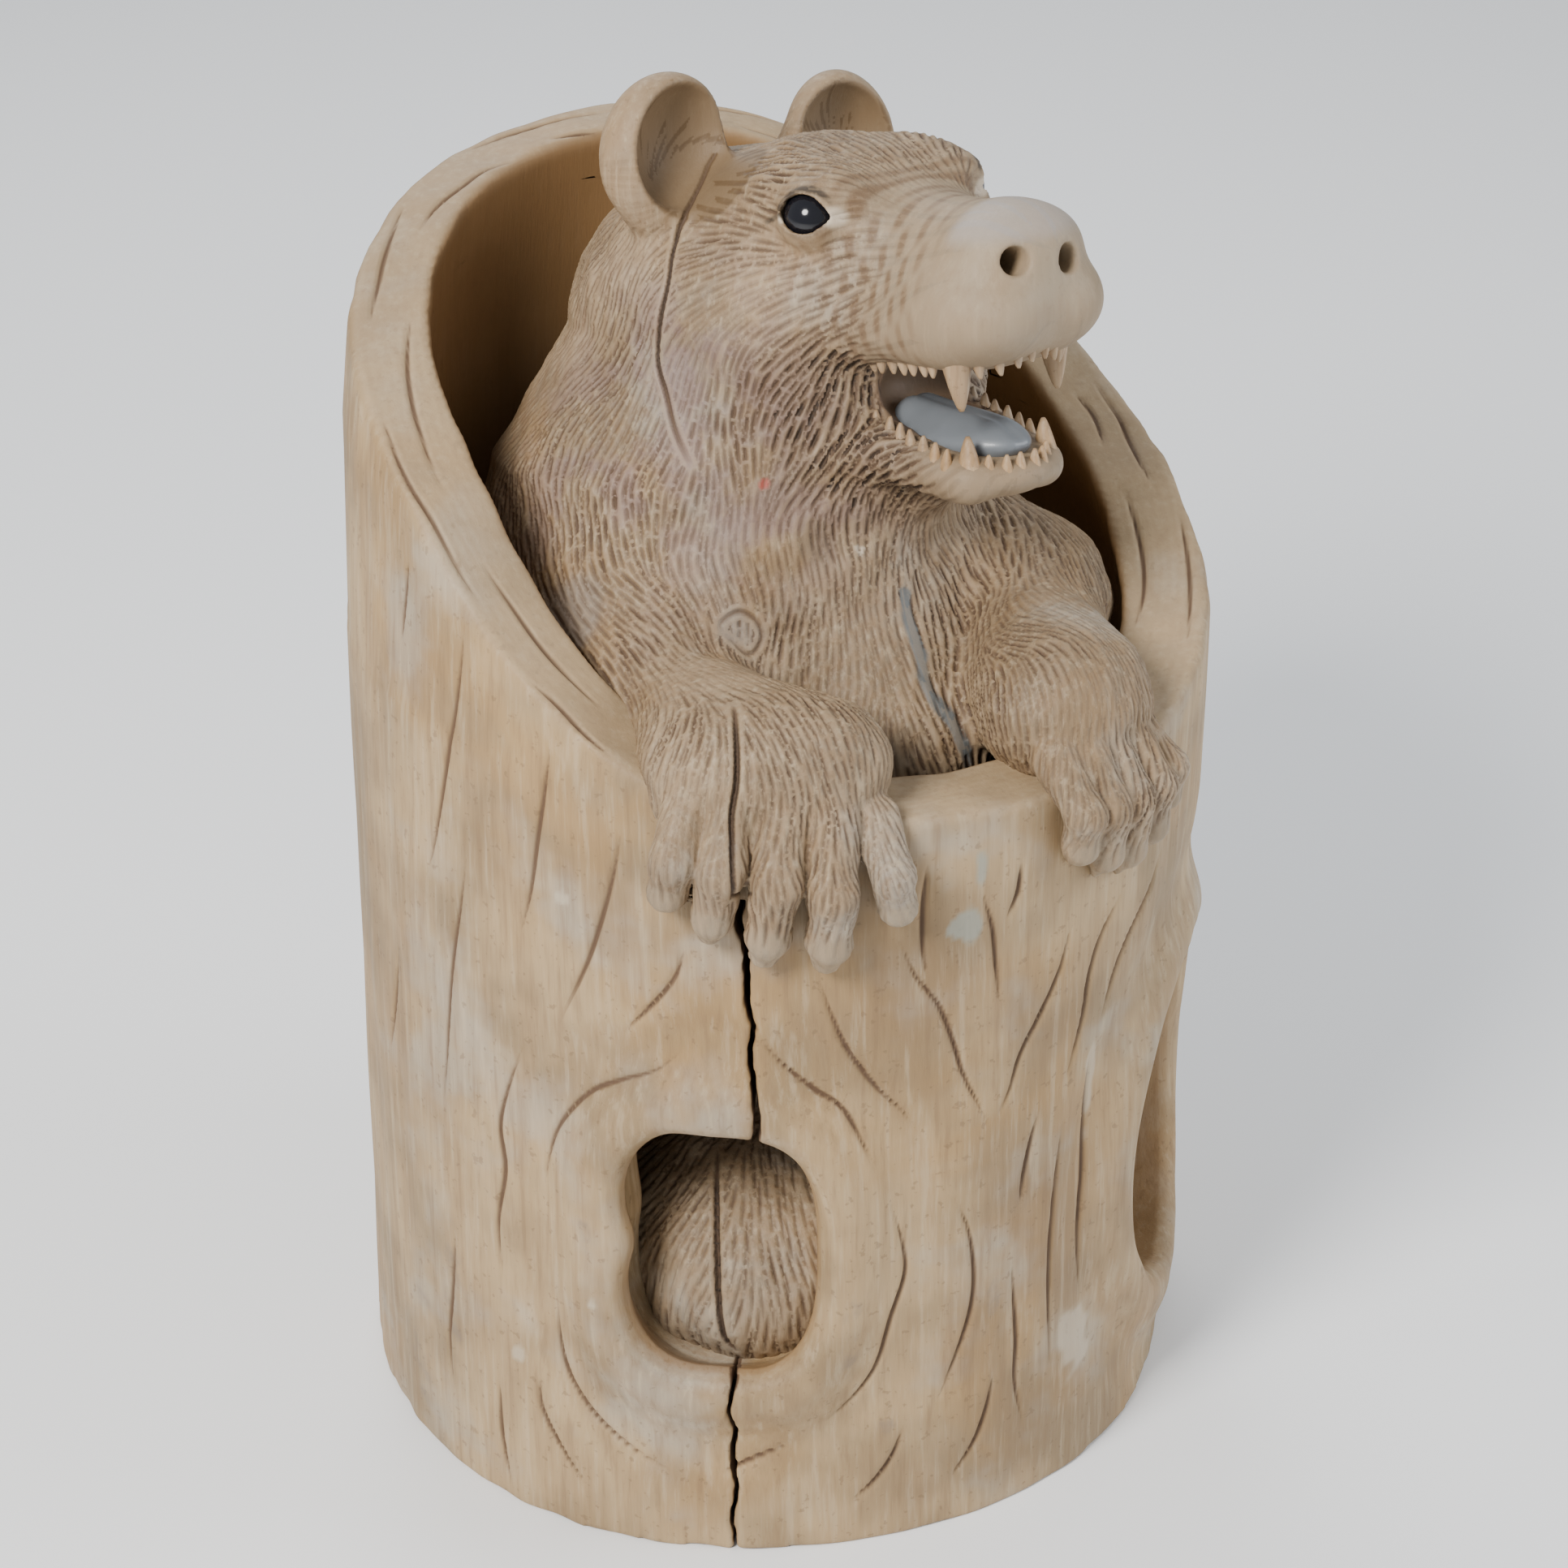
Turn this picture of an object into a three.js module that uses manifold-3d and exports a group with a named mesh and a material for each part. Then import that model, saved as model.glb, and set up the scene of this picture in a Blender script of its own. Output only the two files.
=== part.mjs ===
// A wooden bear that looks out of a hollow tree trunk, carved from one log, with two inlaid glass eyes.
// Millimetres, +Z up, the origin on the floor under the trunk's axis. The bear's chest faces -Y.
import * as THREE from "three";
import { mergeVertices } from "three/addons/utils/BufferGeometryUtils.js";
import Module from "manifold-3d";

const wasm = await Module();
wasm.setup();

// Trunk
const TRUNK_RADIUS = 170; // outside, at mid height
const TAPER_FROM = 345; // height from which the trunk narrows
const TAPER = 0.125; // radius lost per millimetre above it
const LEAN_TO = 66; // degrees from the front, the side that the trunk bulges to under the rim
const WALL_FRONT = 36; // wall thickness under the paws
const WALL_BACK = 29; // wall thickness behind the head
const HOLLOW_FLOOR = 46; // height of the floor inside the trunk
// Height of the rim, by degrees from the front: low under the paws, highest behind the head
const RIM = [
  [-165, 500], [-140, 494], [-117, 475], [-95, 454], [-80, 432], [-70, 409], [-60, 387],
  [-50, 368], [-39, 353], [-22, 341], [0, 335], [18, 331], [38, 338], [60, 355],
  [78, 380], [91, 392], [101, 406], [117, 434], [135, 464], [155, 489], [175, 499],
];

// Knot holes through the wall: where they are, half their width and height, their raised lip, and the undercut
const KNOT_HOLES = [
  { angle: -32.2, height: 142.5, halfWidth: 40, halfHeight: 56, square: 3, lip: 5, under: 8, notch: 0.11, notchAt: 178 },
  { angle: 51, height: 128, halfWidth: 52, halfHeight: 78, square: 2, lip: 4, under: 0, notch: 0.06, notchAt: 20 },
];

// The crack that split the front of the trunk as it dried, above and below the knot hole
const CRACK_WIDTH = 3.6;
const CRACK_DEPTH = 27;
const CRACKS = [
  [[-27.6, 306], [-28.1, 296], [-27, 282], [-27.3, 266], [-26.6, 250], [-27.1, 232], [-26.3, 216], [-26.7, 190]],
  [[-31.2, 96], [-30.4, 82], [-31.1, 70], [-30.2, 58], [-31.2, 46], [-30.4, 32], [-31.1, 16], [-30.8, -4]],
];

// Head: everything on it is placed by [forward, left, up] from the middle of the skull
const HEAD_AT = [22, 9, 483];
const HEAD_YAW = 18; // degrees, turned to the bear's left
const HEAD_PITCH = 14; // nose up
const HEAD_ROLL = 7; // left side down
const EYE_DIAMETER = 20.5;
const EYE_GAP = 0.3; // clearance of the glass in its socket
const EYE_SINK = 4; // how deep the middle of the eye lies under the skin
const EARS = [
  { side: -1, at: [-17, -48, 45], tilt: [-20, 0, -12] },
  { side: 1, at: [-24, 46, 34], tilt: [14, 0, 6] },
];
const EYE_WAY = [[40, 18, 15], [51, 36, 21]]; // a line out through the eye
// Nostrils, right and left, each from deep inside to beyond the skin
const NOSTRILS = [[[118, -12, 3], [150, -18, 7]], [[118, 6, 1], [150, 9, 4]]];
const TONGUE = [[62, 0, -62], [100, 0, -66]];
// Teeth of the bear's left half, as [forward, left, gum, tip, width]
const UPPER_TEETH = [
  ...[62, 67.5, 73, 78.5, 84, 89.5, 95, 100.5].map((forward) => [forward, 26.5, -32.5, -37.5, 5]),
  [110, 23.5, -33, -50, 11],
  [117, 19.5, -32.5, -38, 5.5], [121.5, 14, -31.5, -37.5, 5.5], [125.5, 8, -29.5, -35.5, 5.5], [127.5, 2.6, -28, -34, 5],
];
const LOWER_TEETH = [
  ...[64, 70, 76, 82, 88, 94, 100].map((forward) => [forward, 23.5, -36 - forward / 3, -30.5 - forward / 3, 5]),
  [107, 18.5, -71.5, -59.5, 9],
  [112, 13.5, -72.5, -67, 5], [115.5, 8, -73, -67.5, 5], [117, 2.6, -73, -67.5, 5],
];

// Paws hang over the rim. Each digit: knuckle and claw tip as [degrees from the front, height], and radius
const PAWS = [
  {
    thick: 1,
    blunt: 0.5,
    shoulder: 46,
    arm: [[-62, 14, 356], [-77, -56, 345]],
    wrist: [132, -31.5, 350],
    palm: [[151, -31, 350], [150, -16, 351]],
    digits: [
      [[-33.5, 350], [-36.5, 307], 11],
      [[-28, 352], [-31.5, 294], 11.5],
      [[-22, 351], [-25, 284], 12],
      [[-16.5, 346], [-17.5, 280], 12],
      [[-11, 337], [-8.6, 298], 10.5],
    ],
  },
  {
    thick: 0.97,
    blunt: 0.14,
    shoulder: 34,
    arm: [[58, 4, 354], [87, -54, 348]],
    wrist: [134, 28, 350],
    palm: [[150, 21, 351], [150, 29, 345]],
    digits: [
      [[15, 343], [15.8, 299], 10],
      [[19, 346], [20, 288], 10.5],
      [[23, 346], [24.3, 283], 10.5],
      [[27, 344], [29, 288], 10.5],
      [[31, 338], [32.5, 300], 8.5],
    ],
  },
];

const { sin, cos, hypot, abs, min, max, exp, atan2, PI } = Math;
const rad = (degrees) => (degrees * PI) / 180;
const clamp = (x, low, high) => min(max(x, low), high);
const mix = (a, b, t) => a + (b - a) * t;
const polar = (radius, angle, z) => [radius * sin(rad(angle)), -radius * cos(rad(angle)), z];

// Forms are distances: smaller than zero inside. A soft join fills the crease between two forms.
const softMin = (a, b, k) => min(a, b) - (max(k - abs(a - b), 0) / k) ** 2 * k * 0.25;

// An ellipsoid with its own axes.
function blob(centre, radii, turn = [0, 0, 0]) {
  const m = new THREE.Matrix4().makeRotationFromEuler(new THREE.Euler(...turn.map(rad), "ZYX")).transpose().elements;
  const [a, b, c] = radii;
  return ([x, y, z]) => {
    const [dx, dy, dz] = [x - centre[0], y - centre[1], z - centre[2]];
    const px = m[0] * dx + m[4] * dy + m[8] * dz;
    const py = m[1] * dx + m[5] * dy + m[9] * dz;
    const pz = m[2] * dx + m[6] * dy + m[10] * dz;
    const k0 = hypot(px / a, py / b, pz / c);
    const k1 = hypot(px / (a * a), py / (b * b), pz / (c * c));
    return k1 < 1e-9 ? -min(a, b, c) : (k0 * (k0 - 1)) / k1;
  };
}

// A round limb that tapers from radius ra at a to radius rb at b.
function limb(a, b, ra, rb) {
  const along = b.map((v, i) => v - a[i]);
  const length2 = along.reduce((sum, v) => sum + v * v, 0);
  return (p) => {
    const off = p.map((v, i) => v - a[i]);
    const t = clamp((off[0] * along[0] + off[1] * along[1] + off[2] * along[2]) / length2, 0, 1);
    return hypot(...off.map((v, i) => v - along[i] * t)) - mix(ra, rb, t);
  };
}

// The first form with the others joined to it softly, each as [form, k].
const joined = (first, ...rest) => (p) => {
  let d = first(p);
  for (const [form, k] of rest) d = softMin(d, form(p), k);
  return d;
};

// A closed three.js geometry as a solid: shared vertices merged, faces without an area dropped.
function solidOf(geometry) {
  for (const name of Object.keys(geometry.attributes)) if (name !== "position") geometry.deleteAttribute(name);
  const merged = mergeVertices(geometry, 1e-4);
  const index = merged.getIndex().array;
  const triVerts = [];
  for (let i = 0; i < index.length; i += 3) {
    const [a, b, c] = index.slice(i, i + 3);
    if (a !== b && b !== c && c !== a) triVerts.push(a, b, c);
  }
  const vertProperties = Float32Array.from(merged.getAttribute("position").array);
  return new wasm.Manifold(new wasm.Mesh({ numProp: 3, vertProperties, triVerts: Uint32Array.from(triVerts) }));
}

// A capsule along the path whose skin is moved out or in until it lies on the form.
// Each vertex travels straight away from the path, so the form has to be visible from it.
function skinOver(form, path, { around, rings, ends = 4 }) {
  const start = new THREE.Vector3(...path[0]);
  const axis = new THREE.Vector3(...path[1]).sub(start);
  const turn = new THREE.Quaternion().setFromUnitVectors(new THREE.Vector3(0, 1, 0), axis.clone().normalize());
  const geometry = new THREE.CapsuleGeometry(1, 1, ends, around, rings);
  const position = geometry.getAttribute("position");
  const way = new THREE.Vector3();
  for (let i = 0; i < position.count; i++) {
    way.fromBufferAttribute(position, i);
    const t = clamp(way.y + 0.5, 0, 1);
    way.y -= t - 0.5;
    way.applyQuaternion(turn).normalize();
    const from = start.clone().addScaledVector(axis, t);
    let reach = 0;
    for (let step = 0; step < 60; step++) {
      const d = form([from.x + way.x * reach, from.y + way.y * reach, from.z + way.z * reach]);
      reach -= d * 0.9;
      if (abs(d) < 0.01) break;
    }
    position.setXYZ(i, from.x + way.x * reach, from.y + way.y * reach, from.z + way.z * reach);
  }
  return solidOf(geometry);
}

// Height of the rim at an angle: a smooth curve through the heights in RIM, closed round the trunk.
function rimHeight(angle) {
  const turned = ((angle + 540) % 360) - 180;
  const count = RIM.length;
  let i = RIM.findLastIndex(([at]) => at <= turned);
  if (i < 0) i = count - 1;
  const at = (k) => {
    const [a, height] = RIM[(k + count) % count];
    return [a + 360 * Math.floor(k / count), height];
  };
  const here = turned < RIM[0][0] ? turned + 360 : turned;
  const [[a0, h0], [a1, h1], [a2, h2], [a3, h3]] = [i - 1, i, i + 1, i + 2].map(at);
  const t = (here - a1) / (a2 - a1);
  const slope1 = ((h2 - h0) / (a2 - a0)) * (a2 - a1);
  const slope2 = ((h3 - h1) / (a3 - a1)) * (a2 - a1);
  const [t2, t3] = [t * t, t * t * t];
  return (2 * t3 - 3 * t2 + 1) * h1 + (t3 - 2 * t2 + t) * slope1 + (3 * t2 - 2 * t3) * h2 + (t3 - t2) * slope2;
}

// How far a point of the unrolled trunk lies outside the edge of a knot hole.
function holeOffset(hole, angle, z) {
  const turned = ((angle - hole.angle + 540) % 360) - 180;
  const s = rad(turned) * TRUNK_RADIUS;
  const t = z - hole.height;
  return hypot(s, t) - holeEdge(hole, (atan2(t, s) * 180) / PI);
}

function holeEdge(hole, direction) {
  const power = hole.square;
  const c = abs(cos(rad(direction))) / hole.halfWidth;
  const s = abs(sin(rad(direction))) / hole.halfHeight;
  const fromNotch = abs(((direction - hole.notchAt + 540) % 360) - 180);
  return (c ** power + s ** power) ** (-1 / power) * (1 - hole.notch * exp(-((fromNotch / 20) ** 2)));
}

// Radius of the log without the lips of its knot holes.
function logRadius(angle, z) {
  const a = rad(angle);
  const lumps = 1.4 * sin(2 * a + 0.9) + 1.1 * sin(3 * a - 1.2 + z * 0.006) + 0.7 * sin(5 * a + z * 0.011);
  const lean = z < 350 ? mix(-6, 6, z / 350) : mix(6, 0, clamp((z - 350) / 80, 0, 1));
  const narrowing = TAPER * max(z - TAPER_FROM, 0);
  return TRUNK_RADIUS - narrowing + lean * cos(a - rad(LEAN_TO)) + lumps;
}

function trunkRadius(angle, z) {
  let lips = 0;
  for (const hole of KNOT_HOLES) {
    const off = holeOffset(hole, angle, z);
    lips += hole.lip * (exp(-(((off - 12) / 14) ** 2)) - 0.6 * exp(-(((off - 40) / 14) ** 2)));
  }
  return logRadius(angle, z) + lips;
}

const wallThickness = (angle) => mix(WALL_FRONT, WALL_BACK, (1 - cos(rad(angle))) / 2);

// The trunk's section, turned through a full circle. Each point: radius, height, and which surface it is on.
const outsideRows = [0.14, 0.27, 0.4, 0.55, 0.75, 1];
const insideRows = [0.66, 0.33, 0];
const section = [
  ["base", 0, 0],
  ["base", 9, 0],
  ["outside", 2.5, 2.5],
  ["outside", 0, 9],
  ...outsideRows.map((share) => ["outside", 0, 9, share]),
  ["outside", 2.5, -3.5, 1],
  ["outside", 9, 0, 1],
  ["inside", 10, 0, 1],
  ["inside", 3, -3.5, 1],
  ["inside", 0, -12, 1],
  ...insideRows.map((share) => ["inside", 0, 28, share]),
  ["inside", -9, 9],
  ["inside", -30, 0],
  ["base", -1, HOLLOW_FLOOR],
];

function trunkPoint([surface, inset, lift, share = 0], angle) {
  if (surface === "base" && inset <= 0) return [0, 0, lift];
  const rim = rimHeight(angle);
  const low = surface === "inside" ? HOLLOW_FLOOR : 0;
  // Rows between the lowest and the highest keep their share of the height
  const top = surface === "inside" ? rim - 12 : rim - 11;
  let z = low + lift;
  if (share === 1) z = rim + (lift > 0 ? -11 : lift);
  else if (share > 0) z = mix(low + lift, top, share);
  if (surface === "inside") {
    return polar(logRadius(angle, z) - wallThickness(angle) + inset, angle, z);
  }
  return polar(trunkRadius(angle, z) - inset, angle, z);
}

function trunk() {
  const segments = 60;
  const geometry = new THREE.LatheGeometry(section.map((_, i) => new THREE.Vector2(1, i)), segments);
  const position = geometry.getAttribute("position");
  for (let i = 0; i <= segments; i++)
    section.forEach((row, j) => {
      position.setXYZ(i * section.length + j, ...trunkPoint(row, ((i % segments) * 360) / segments));
    });
  return solidOf(geometry);
}

// A cutter through the trunk's wall. Its outline is drawn on the unrolled wall, round the given angle and height,
// and drawn again at each distance from the axis, grown by shape(point, row).
function wallCutter(outline, angle, height, depths, shape) {
  const drawn = new THREE.Shape(outline.map(([s, t]) => new THREE.Vector2(s, t)));
  const geometry = new THREE.ExtrudeGeometry(drawn, { depth: 1, steps: depths.length - 1, bevelEnabled: false });
  const position = geometry.getAttribute("position");
  for (let i = 0; i < position.count; i++) {
    const row = Math.round(position.getZ(i) * (depths.length - 1));
    const [s, t] = shape(position.getX(i), position.getY(i), row);
    position.setXYZ(i, ...polar(depths[row], angle + (s / TRUNK_RADIUS) * (180 / PI), height + t));
  }
  return solidOf(geometry);
}

function holeCutter(hole) {
  const directions = Array.from({ length: 22 }, (_, i) => (i * 360) / 22);
  const outline = directions.map((d) => [cos(rad(d)), sin(rad(d))].map((v) => v * holeEdge(hole, d)));
  const open = [hole.under, hole.under, 0, 3, 8]; // how much wider the hole is there
  return wallCutter(outline, hole.angle, hole.height, [96, 150, 163, 174, 188], (s, t, row) => {
    const grow = 1 + open[row] / hypot(s, t);
    return [s * grow, t * grow];
  });
}

// A wedge along a crack, wide at the bark and closed inside.
function crackCutter(crack) {
  const middle = crack.map(([angle, z]) => [rad(angle - crack[0][0]) * TRUNK_RADIUS, z]);
  const half = (i) => (CRACK_WIDTH / 2) * (i === 0 ? 0.4 : 1);
  const outline = [
    ...middle.map(([s, z], i) => [s - half(i), z]),
    ...middle.map(([s, z], i) => [s + half(i), z]).reverse(),
  ];
  const nearest = (z) => middle.reduce((best, at) => (abs(at[1] - z) < abs(best[1] - z) ? at : best));
  return wallCutter(outline, crack[0][0], 0, [TRUNK_RADIUS - CRACK_DEPTH, TRUNK_RADIUS + 16], (s, z, row) => {
    const [centre] = nearest(z);
    return [row ? centre + (s - centre) * 1.3 : centre + (s - centre) * 0.25, z];
  });
}

// Head frame
const zUp = new THREE.Vector3(0, 0, 1);
const turn = (degrees) => [sin(rad(degrees)), cos(rad(degrees))];
const [yawSin, yawCos] = turn(HEAD_YAW);
const [pitchSin, pitchCos] = turn(HEAD_PITCH);
const [rollSin, rollCos] = turn(HEAD_ROLL);
const forward0 = new THREE.Vector3(yawSin, -yawCos, 0);
const left0 = new THREE.Vector3(yawCos, yawSin, 0);
const headForward = forward0.clone().multiplyScalar(pitchCos).addScaledVector(zUp, pitchSin);
const up0 = zUp.clone().multiplyScalar(pitchCos).addScaledVector(forward0, -pitchSin);
const headLeft = left0.clone().multiplyScalar(rollCos).addScaledVector(up0, -rollSin);
const headUp = up0.clone().multiplyScalar(rollCos).addScaledVector(left0, rollSin);
const headMatrix = new THREE.Matrix4().makeBasis(headForward, headLeft, headUp).setPosition(...HEAD_AT);
// Everything on the head is modelled in head coordinates and moved here.
const placed = (solid) => solid.transform(headMatrix.elements);

const upperHead = joined(
  blob([-8, 0, -14], [60, 60, 52]),
  [blob([30, 0, 0], [44, 46, 38]), 20],
  [blob([22, 0, 24], [36, 40, 21]), 16],
  [blob([6, 27, -36], [50, 38, 46]), 22],
  [blob([6, -27, -36], [50, 38, 46]), 22],
  [blob([24, 0, -60], [44, 44, 36]), 20],
  [blob([43, 29, 28], [23, 15, 12]), 14],
  [blob([46, -28, 27], [22, 14, 12]), 14],
  [limb([50, 0, -4], [108, 0, -5], 32, 28), 20],
  [blob([107, 15, -14], [33, 24, 21]), 12],
  [blob([107, -15, -14], [33, 24, 21]), 12],
  [blob([119, 0, 7], [21, 27, 17]), 8],
  [limb([60, 27, -20], [104, 25, -21], 13, 11), 8],
  [limb([60, -27, -20], [104, -25, -21], 13, 11), 8],
);
const lowerJaw = joined(
  limb([24, 0, -68], [80, 0, -74], 36, 14),
  [limb([56, 24, -66], [104, 19, -77], 12, 8), 8],
  [limb([56, -24, -66], [104, -19, -77], 12, 8), 8],
  [blob([104, 0, -77], [17, 22, 8.5]), 8],
);
const tongue = joined(limb(...TONGUE, 12, 9), [blob([82, 0, -66], [34, 17, 9]), 6]);

// A tooth is a blunt cone with its root a little way under the gum.
function tooth([f, l, gum, tip, width], side) {
  const down = tip < gum ? 1 : -1;
  const root = gum + 2.5 * down;
  const cone = new THREE.CylinderGeometry(width * 0.13, width * 0.62, abs(tip - root), 4, 1);
  cone.rotateX((-PI / 2) * down);
  cone.translate(f, (l + 1) * side, (root + tip) / 2);
  return solidOf(cone);
}

function earSolid({ side, at, tilt }) {
  const [f, l, u] = at;
  const cupAt = [f + 16, l - 4 * side, u + 1];
  const shell = skinOver(blob(at, [17, 26, 30], tilt), [at, [f, l, u + 1]], { around: 12, rings: 1, ends: 4 });
  const cup = skinOver(blob(cupAt, [22, 24, 26], tilt), [cupAt, [f + 16, l - 4 * side, u + 2]], { around: 12, rings: 1, ends: 3 });
  return shell.subtract(cup);
}

// The middle of an eye: the place on the line out through it where the skin is EYE_SINK away.
function eyeMiddle(side) {
  const [from, to] = EYE_WAY.map(([f, l, u]) => [f, l * side, u]);
  let t = 0;
  while (t < 3 && upperHead(from.map((v, i) => mix(v, to[i], t))) < -EYE_SINK) t += 0.01;
  return from.map((v, i) => mix(v, to[i], t));
}

function headSolid() {
  let solid = skinOver(upperHead, [[-8, 0, -10], [110, 0, -6]], { around: 32, rings: 10, ends: 4 });
  solid = solid.add(skinOver(lowerJaw, [[30, 0, -68], [102, 0, -74]], { around: 18, rings: 5, ends: 3 }));
  const mouth = blob([84, 0, -47], [41, 24, 18]);
  solid = solid.subtract(skinOver(mouth, [[80, 0, -47], [96, 0, -47]], { around: 14, rings: 1, ends: 4 }));
  solid = solid.add(skinOver(tongue, TONGUE, { around: 10, rings: 2, ends: 2 }));
  for (const ear of EARS) solid = solid.add(earSolid(ear));
  for (const nostril of NOSTRILS)
    solid = solid.subtract(skinOver(limb(...nostril, 4.5, 6), nostril, { around: 8, rings: 1, ends: 2 }));
  for (const side of [-1, 1]) {
    for (const row of [UPPER_TEETH, LOWER_TEETH]) for (const one of row) solid = solid.add(tooth(one, side));
    solid = solid.subtract(eyeball(side, EYE_DIAMETER / 2 + EYE_GAP));
  }
  return placed(solid);
}

function eyeball(side, radius) {
  const ball = new THREE.SphereGeometry(radius, 12, 8);
  ball.translate(...eyeMiddle(side));
  return solidOf(ball);
}

// Body, arms and paws
const bodyForm = joined(
  limb([4, 36, 446], [-4, 24, 396], 64, 92),
  [limb([14, 8, 436], [0, 6, 390], 58, 78), 20],
  [blob([0, 8, 360], [96, 84, 62]), 24],
  [blob([0, 0, 330], [86, 96, 80]), 30],
  [blob([12, -62, 318], [52, 66, 52]), 20],
  [blob([0, 4, 230], [92, 92, 110]), 40],
  [limb([0, 8, 130], [0, 8, 106], 96, 96), 20],
  ...PAWS.map(({ arm, shoulder, thick }) => [limb(...arm, shoulder, 33 * thick), shoulder * 0.75]),
);

// The tucked up hind paws, which show through the knot holes.
const HIND_PAWS = [[[-44, -68, 102], [64, 76, 54]], [[46, -50, 92], [56, 62, 58]]];

function hindPaw([at, radii]) {
  const ball = new THREE.SphereGeometry(1, 14, 8);
  ball.rotateX(PI / 2);
  ball.scale(...radii);
  ball.translate(...at);
  return solidOf(ball);
}

function pawSolid({ thick, blunt, arm, wrist, palm, digits }) {
  const elbow = arm[1];
  const wristAt = polar(...wrist);
  const [inner, outer] = palm.map((at) => polar(...at));
  const middle = inner.map((v, i) => (v + outer[i]) / 2);
  const form = joined(
    limb(elbow, wristAt, 32.5 * thick, 27 * thick),
    [limb(wristAt, middle, 27 * thick, 28 * thick), 12],
    [limb(inner, outer, 28 * thick, 25 * thick), 14],
  );
  let solid = skinOver(form, [elbow, middle], { around: 16, rings: 5, ends: 3 });
  for (const [knuckle, tip, radius] of digits) {
    const at = (r, share) => polar(r, mix(knuckle[0], tip[0], share), mix(knuckle[1], tip[1], share));
    const digit = joined(
      limb(at(168, 0), at(184, 0.42), radius + 2, radius),
      [limb(at(184, 0.42), at(180, 0.78), radius, radius * 0.75), 4],
      [limb(at(180, 0.78), at(176, 1 - blunt * 0.14), radius * 0.72, radius * blunt), 3],
    );
    solid = solid.add(skinOver(digit, [at(170, 0.05), at(179, 0.72)], { around: 6, rings: 3, ends: 2 }));
  }
  return solid;
}

let carved = trunk();
for (const hole of KNOT_HOLES) carved = carved.subtract(holeCutter(hole));
for (const crack of CRACKS) carved = carved.subtract(crackCutter(crack));
carved = carved.add(skinOver(bodyForm, [[0, 8, 100], [2, 30, 440]], { around: 28, rings: 10, ends: 3 }));
for (const hind of HIND_PAWS) carved = carved.add(hindPaw(hind));
carved = carved.add(headSolid());
for (const paw of PAWS) carved = carved.add(pawSolid(paw));

const toMesh = (name, solid, color, roughness) => {
  const m = solid.getMesh();
  const positions = new Float32Array(m.numVert * 3);
  for (let i = 0; i < m.numVert; i++)
    for (let j = 0; j < 3; j++) positions[3 * i + j] = m.vertProperties[i * m.numProp + j];
  const geometry = new THREE.BufferGeometry()
    .setAttribute("position", new THREE.BufferAttribute(positions, 3))
    .setIndex(new THREE.BufferAttribute(Uint32Array.from(m.triVerts), 1));
  geometry.computeVertexNormals();
  const mesh = new THREE.Mesh(geometry, new THREE.MeshStandardMaterial({ color, roughness, metalness: 0 }));
  mesh.name = name;
  return mesh;
};

const part = new THREE.Group();
part.add(toMesh("carved_bear_in_trunk", carved, 0xb08a62, 0.62));
part.add(toMesh("right_eye", placed(eyeball(-1, EYE_DIAMETER / 2)), 0x0b0d12, 0.08));
part.add(toMesh("left_eye", placed(eyeball(1, EYE_DIAMETER / 2)), 0x0b0d12, 0.08));

export default part;
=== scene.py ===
"""Carved wooden bear that looks out of a hollow tree trunk: carved fur, teeth, bead eyes, cracked log.

The forms use the same named sizes as the solid. They are distances in millimetres, joined softly, and
skinned on a fine grid. The gouge cuts of the fur and the splits of the log are relief on that skin.
"""

import bpy
import numpy as np
from bpy.props import FloatProperty, FloatVectorProperty, IntProperty, PointerProperty
from mathutils import Matrix, Vector
from mathutils.kdtree import KDTree


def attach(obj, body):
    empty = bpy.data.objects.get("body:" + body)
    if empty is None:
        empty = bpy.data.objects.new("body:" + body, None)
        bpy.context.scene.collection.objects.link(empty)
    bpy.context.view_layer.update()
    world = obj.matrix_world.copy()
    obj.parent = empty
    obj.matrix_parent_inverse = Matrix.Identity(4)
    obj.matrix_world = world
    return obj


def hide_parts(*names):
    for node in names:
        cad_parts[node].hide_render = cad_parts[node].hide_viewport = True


bl_info = {
    "name": "Carved Bear in a Trunk",
    "version": (1, 0, 0),
    "blender": (4, 5, 0),
    "location": "3D View > Sidebar > Carved Bear",
    "description": "Builds a carved wooden bear that looks out of a hollow tree trunk",
    "category": "Add Mesh",
}

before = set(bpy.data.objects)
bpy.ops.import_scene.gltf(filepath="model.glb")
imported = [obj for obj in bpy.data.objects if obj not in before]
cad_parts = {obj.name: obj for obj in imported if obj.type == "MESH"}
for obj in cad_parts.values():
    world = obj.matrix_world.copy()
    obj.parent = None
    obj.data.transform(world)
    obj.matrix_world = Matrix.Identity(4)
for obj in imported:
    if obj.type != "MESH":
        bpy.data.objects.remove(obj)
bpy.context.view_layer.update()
MM = 0.001
# Points worked out at once, to hold the memory down
BATCH = 120000
FLOW_BATCH = 20000

# Trunk
TRUNK_RADIUS = 170
TAPER_FROM = 345
TAPER = 0.125
LEAN_TO = 66
LEAN = 6
LEAN_UNTIL = 350
LEAN_FADE = 80
WALL_FRONT = 36
WALL_BACK = 29
HOLLOW_FLOOR = 46
RIM = [
    (-165, 500), (-140, 494), (-117, 475), (-95, 454), (-80, 432), (-70, 409), (-60, 387),
    (-50, 368), (-39, 353), (-22, 341), (0, 335), (18, 331), (38, 338), (60, 355),
    (78, 380), (91, 392), (101, 406), (117, 434), (135, 464), (155, 489), (175, 499),
]
KNOT_HOLES = [
    {"angle": -32.2, "height": 142.5, "half": (40, 56), "square": 3, "lip": 5, "under": 8,
     "notch": 0.11, "notch_at": 178},
    {"angle": 51, "height": 128, "half": (52, 78), "square": 2, "lip": 4, "under": 0,
     "notch": 0.06, "notch_at": 20},
]
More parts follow.
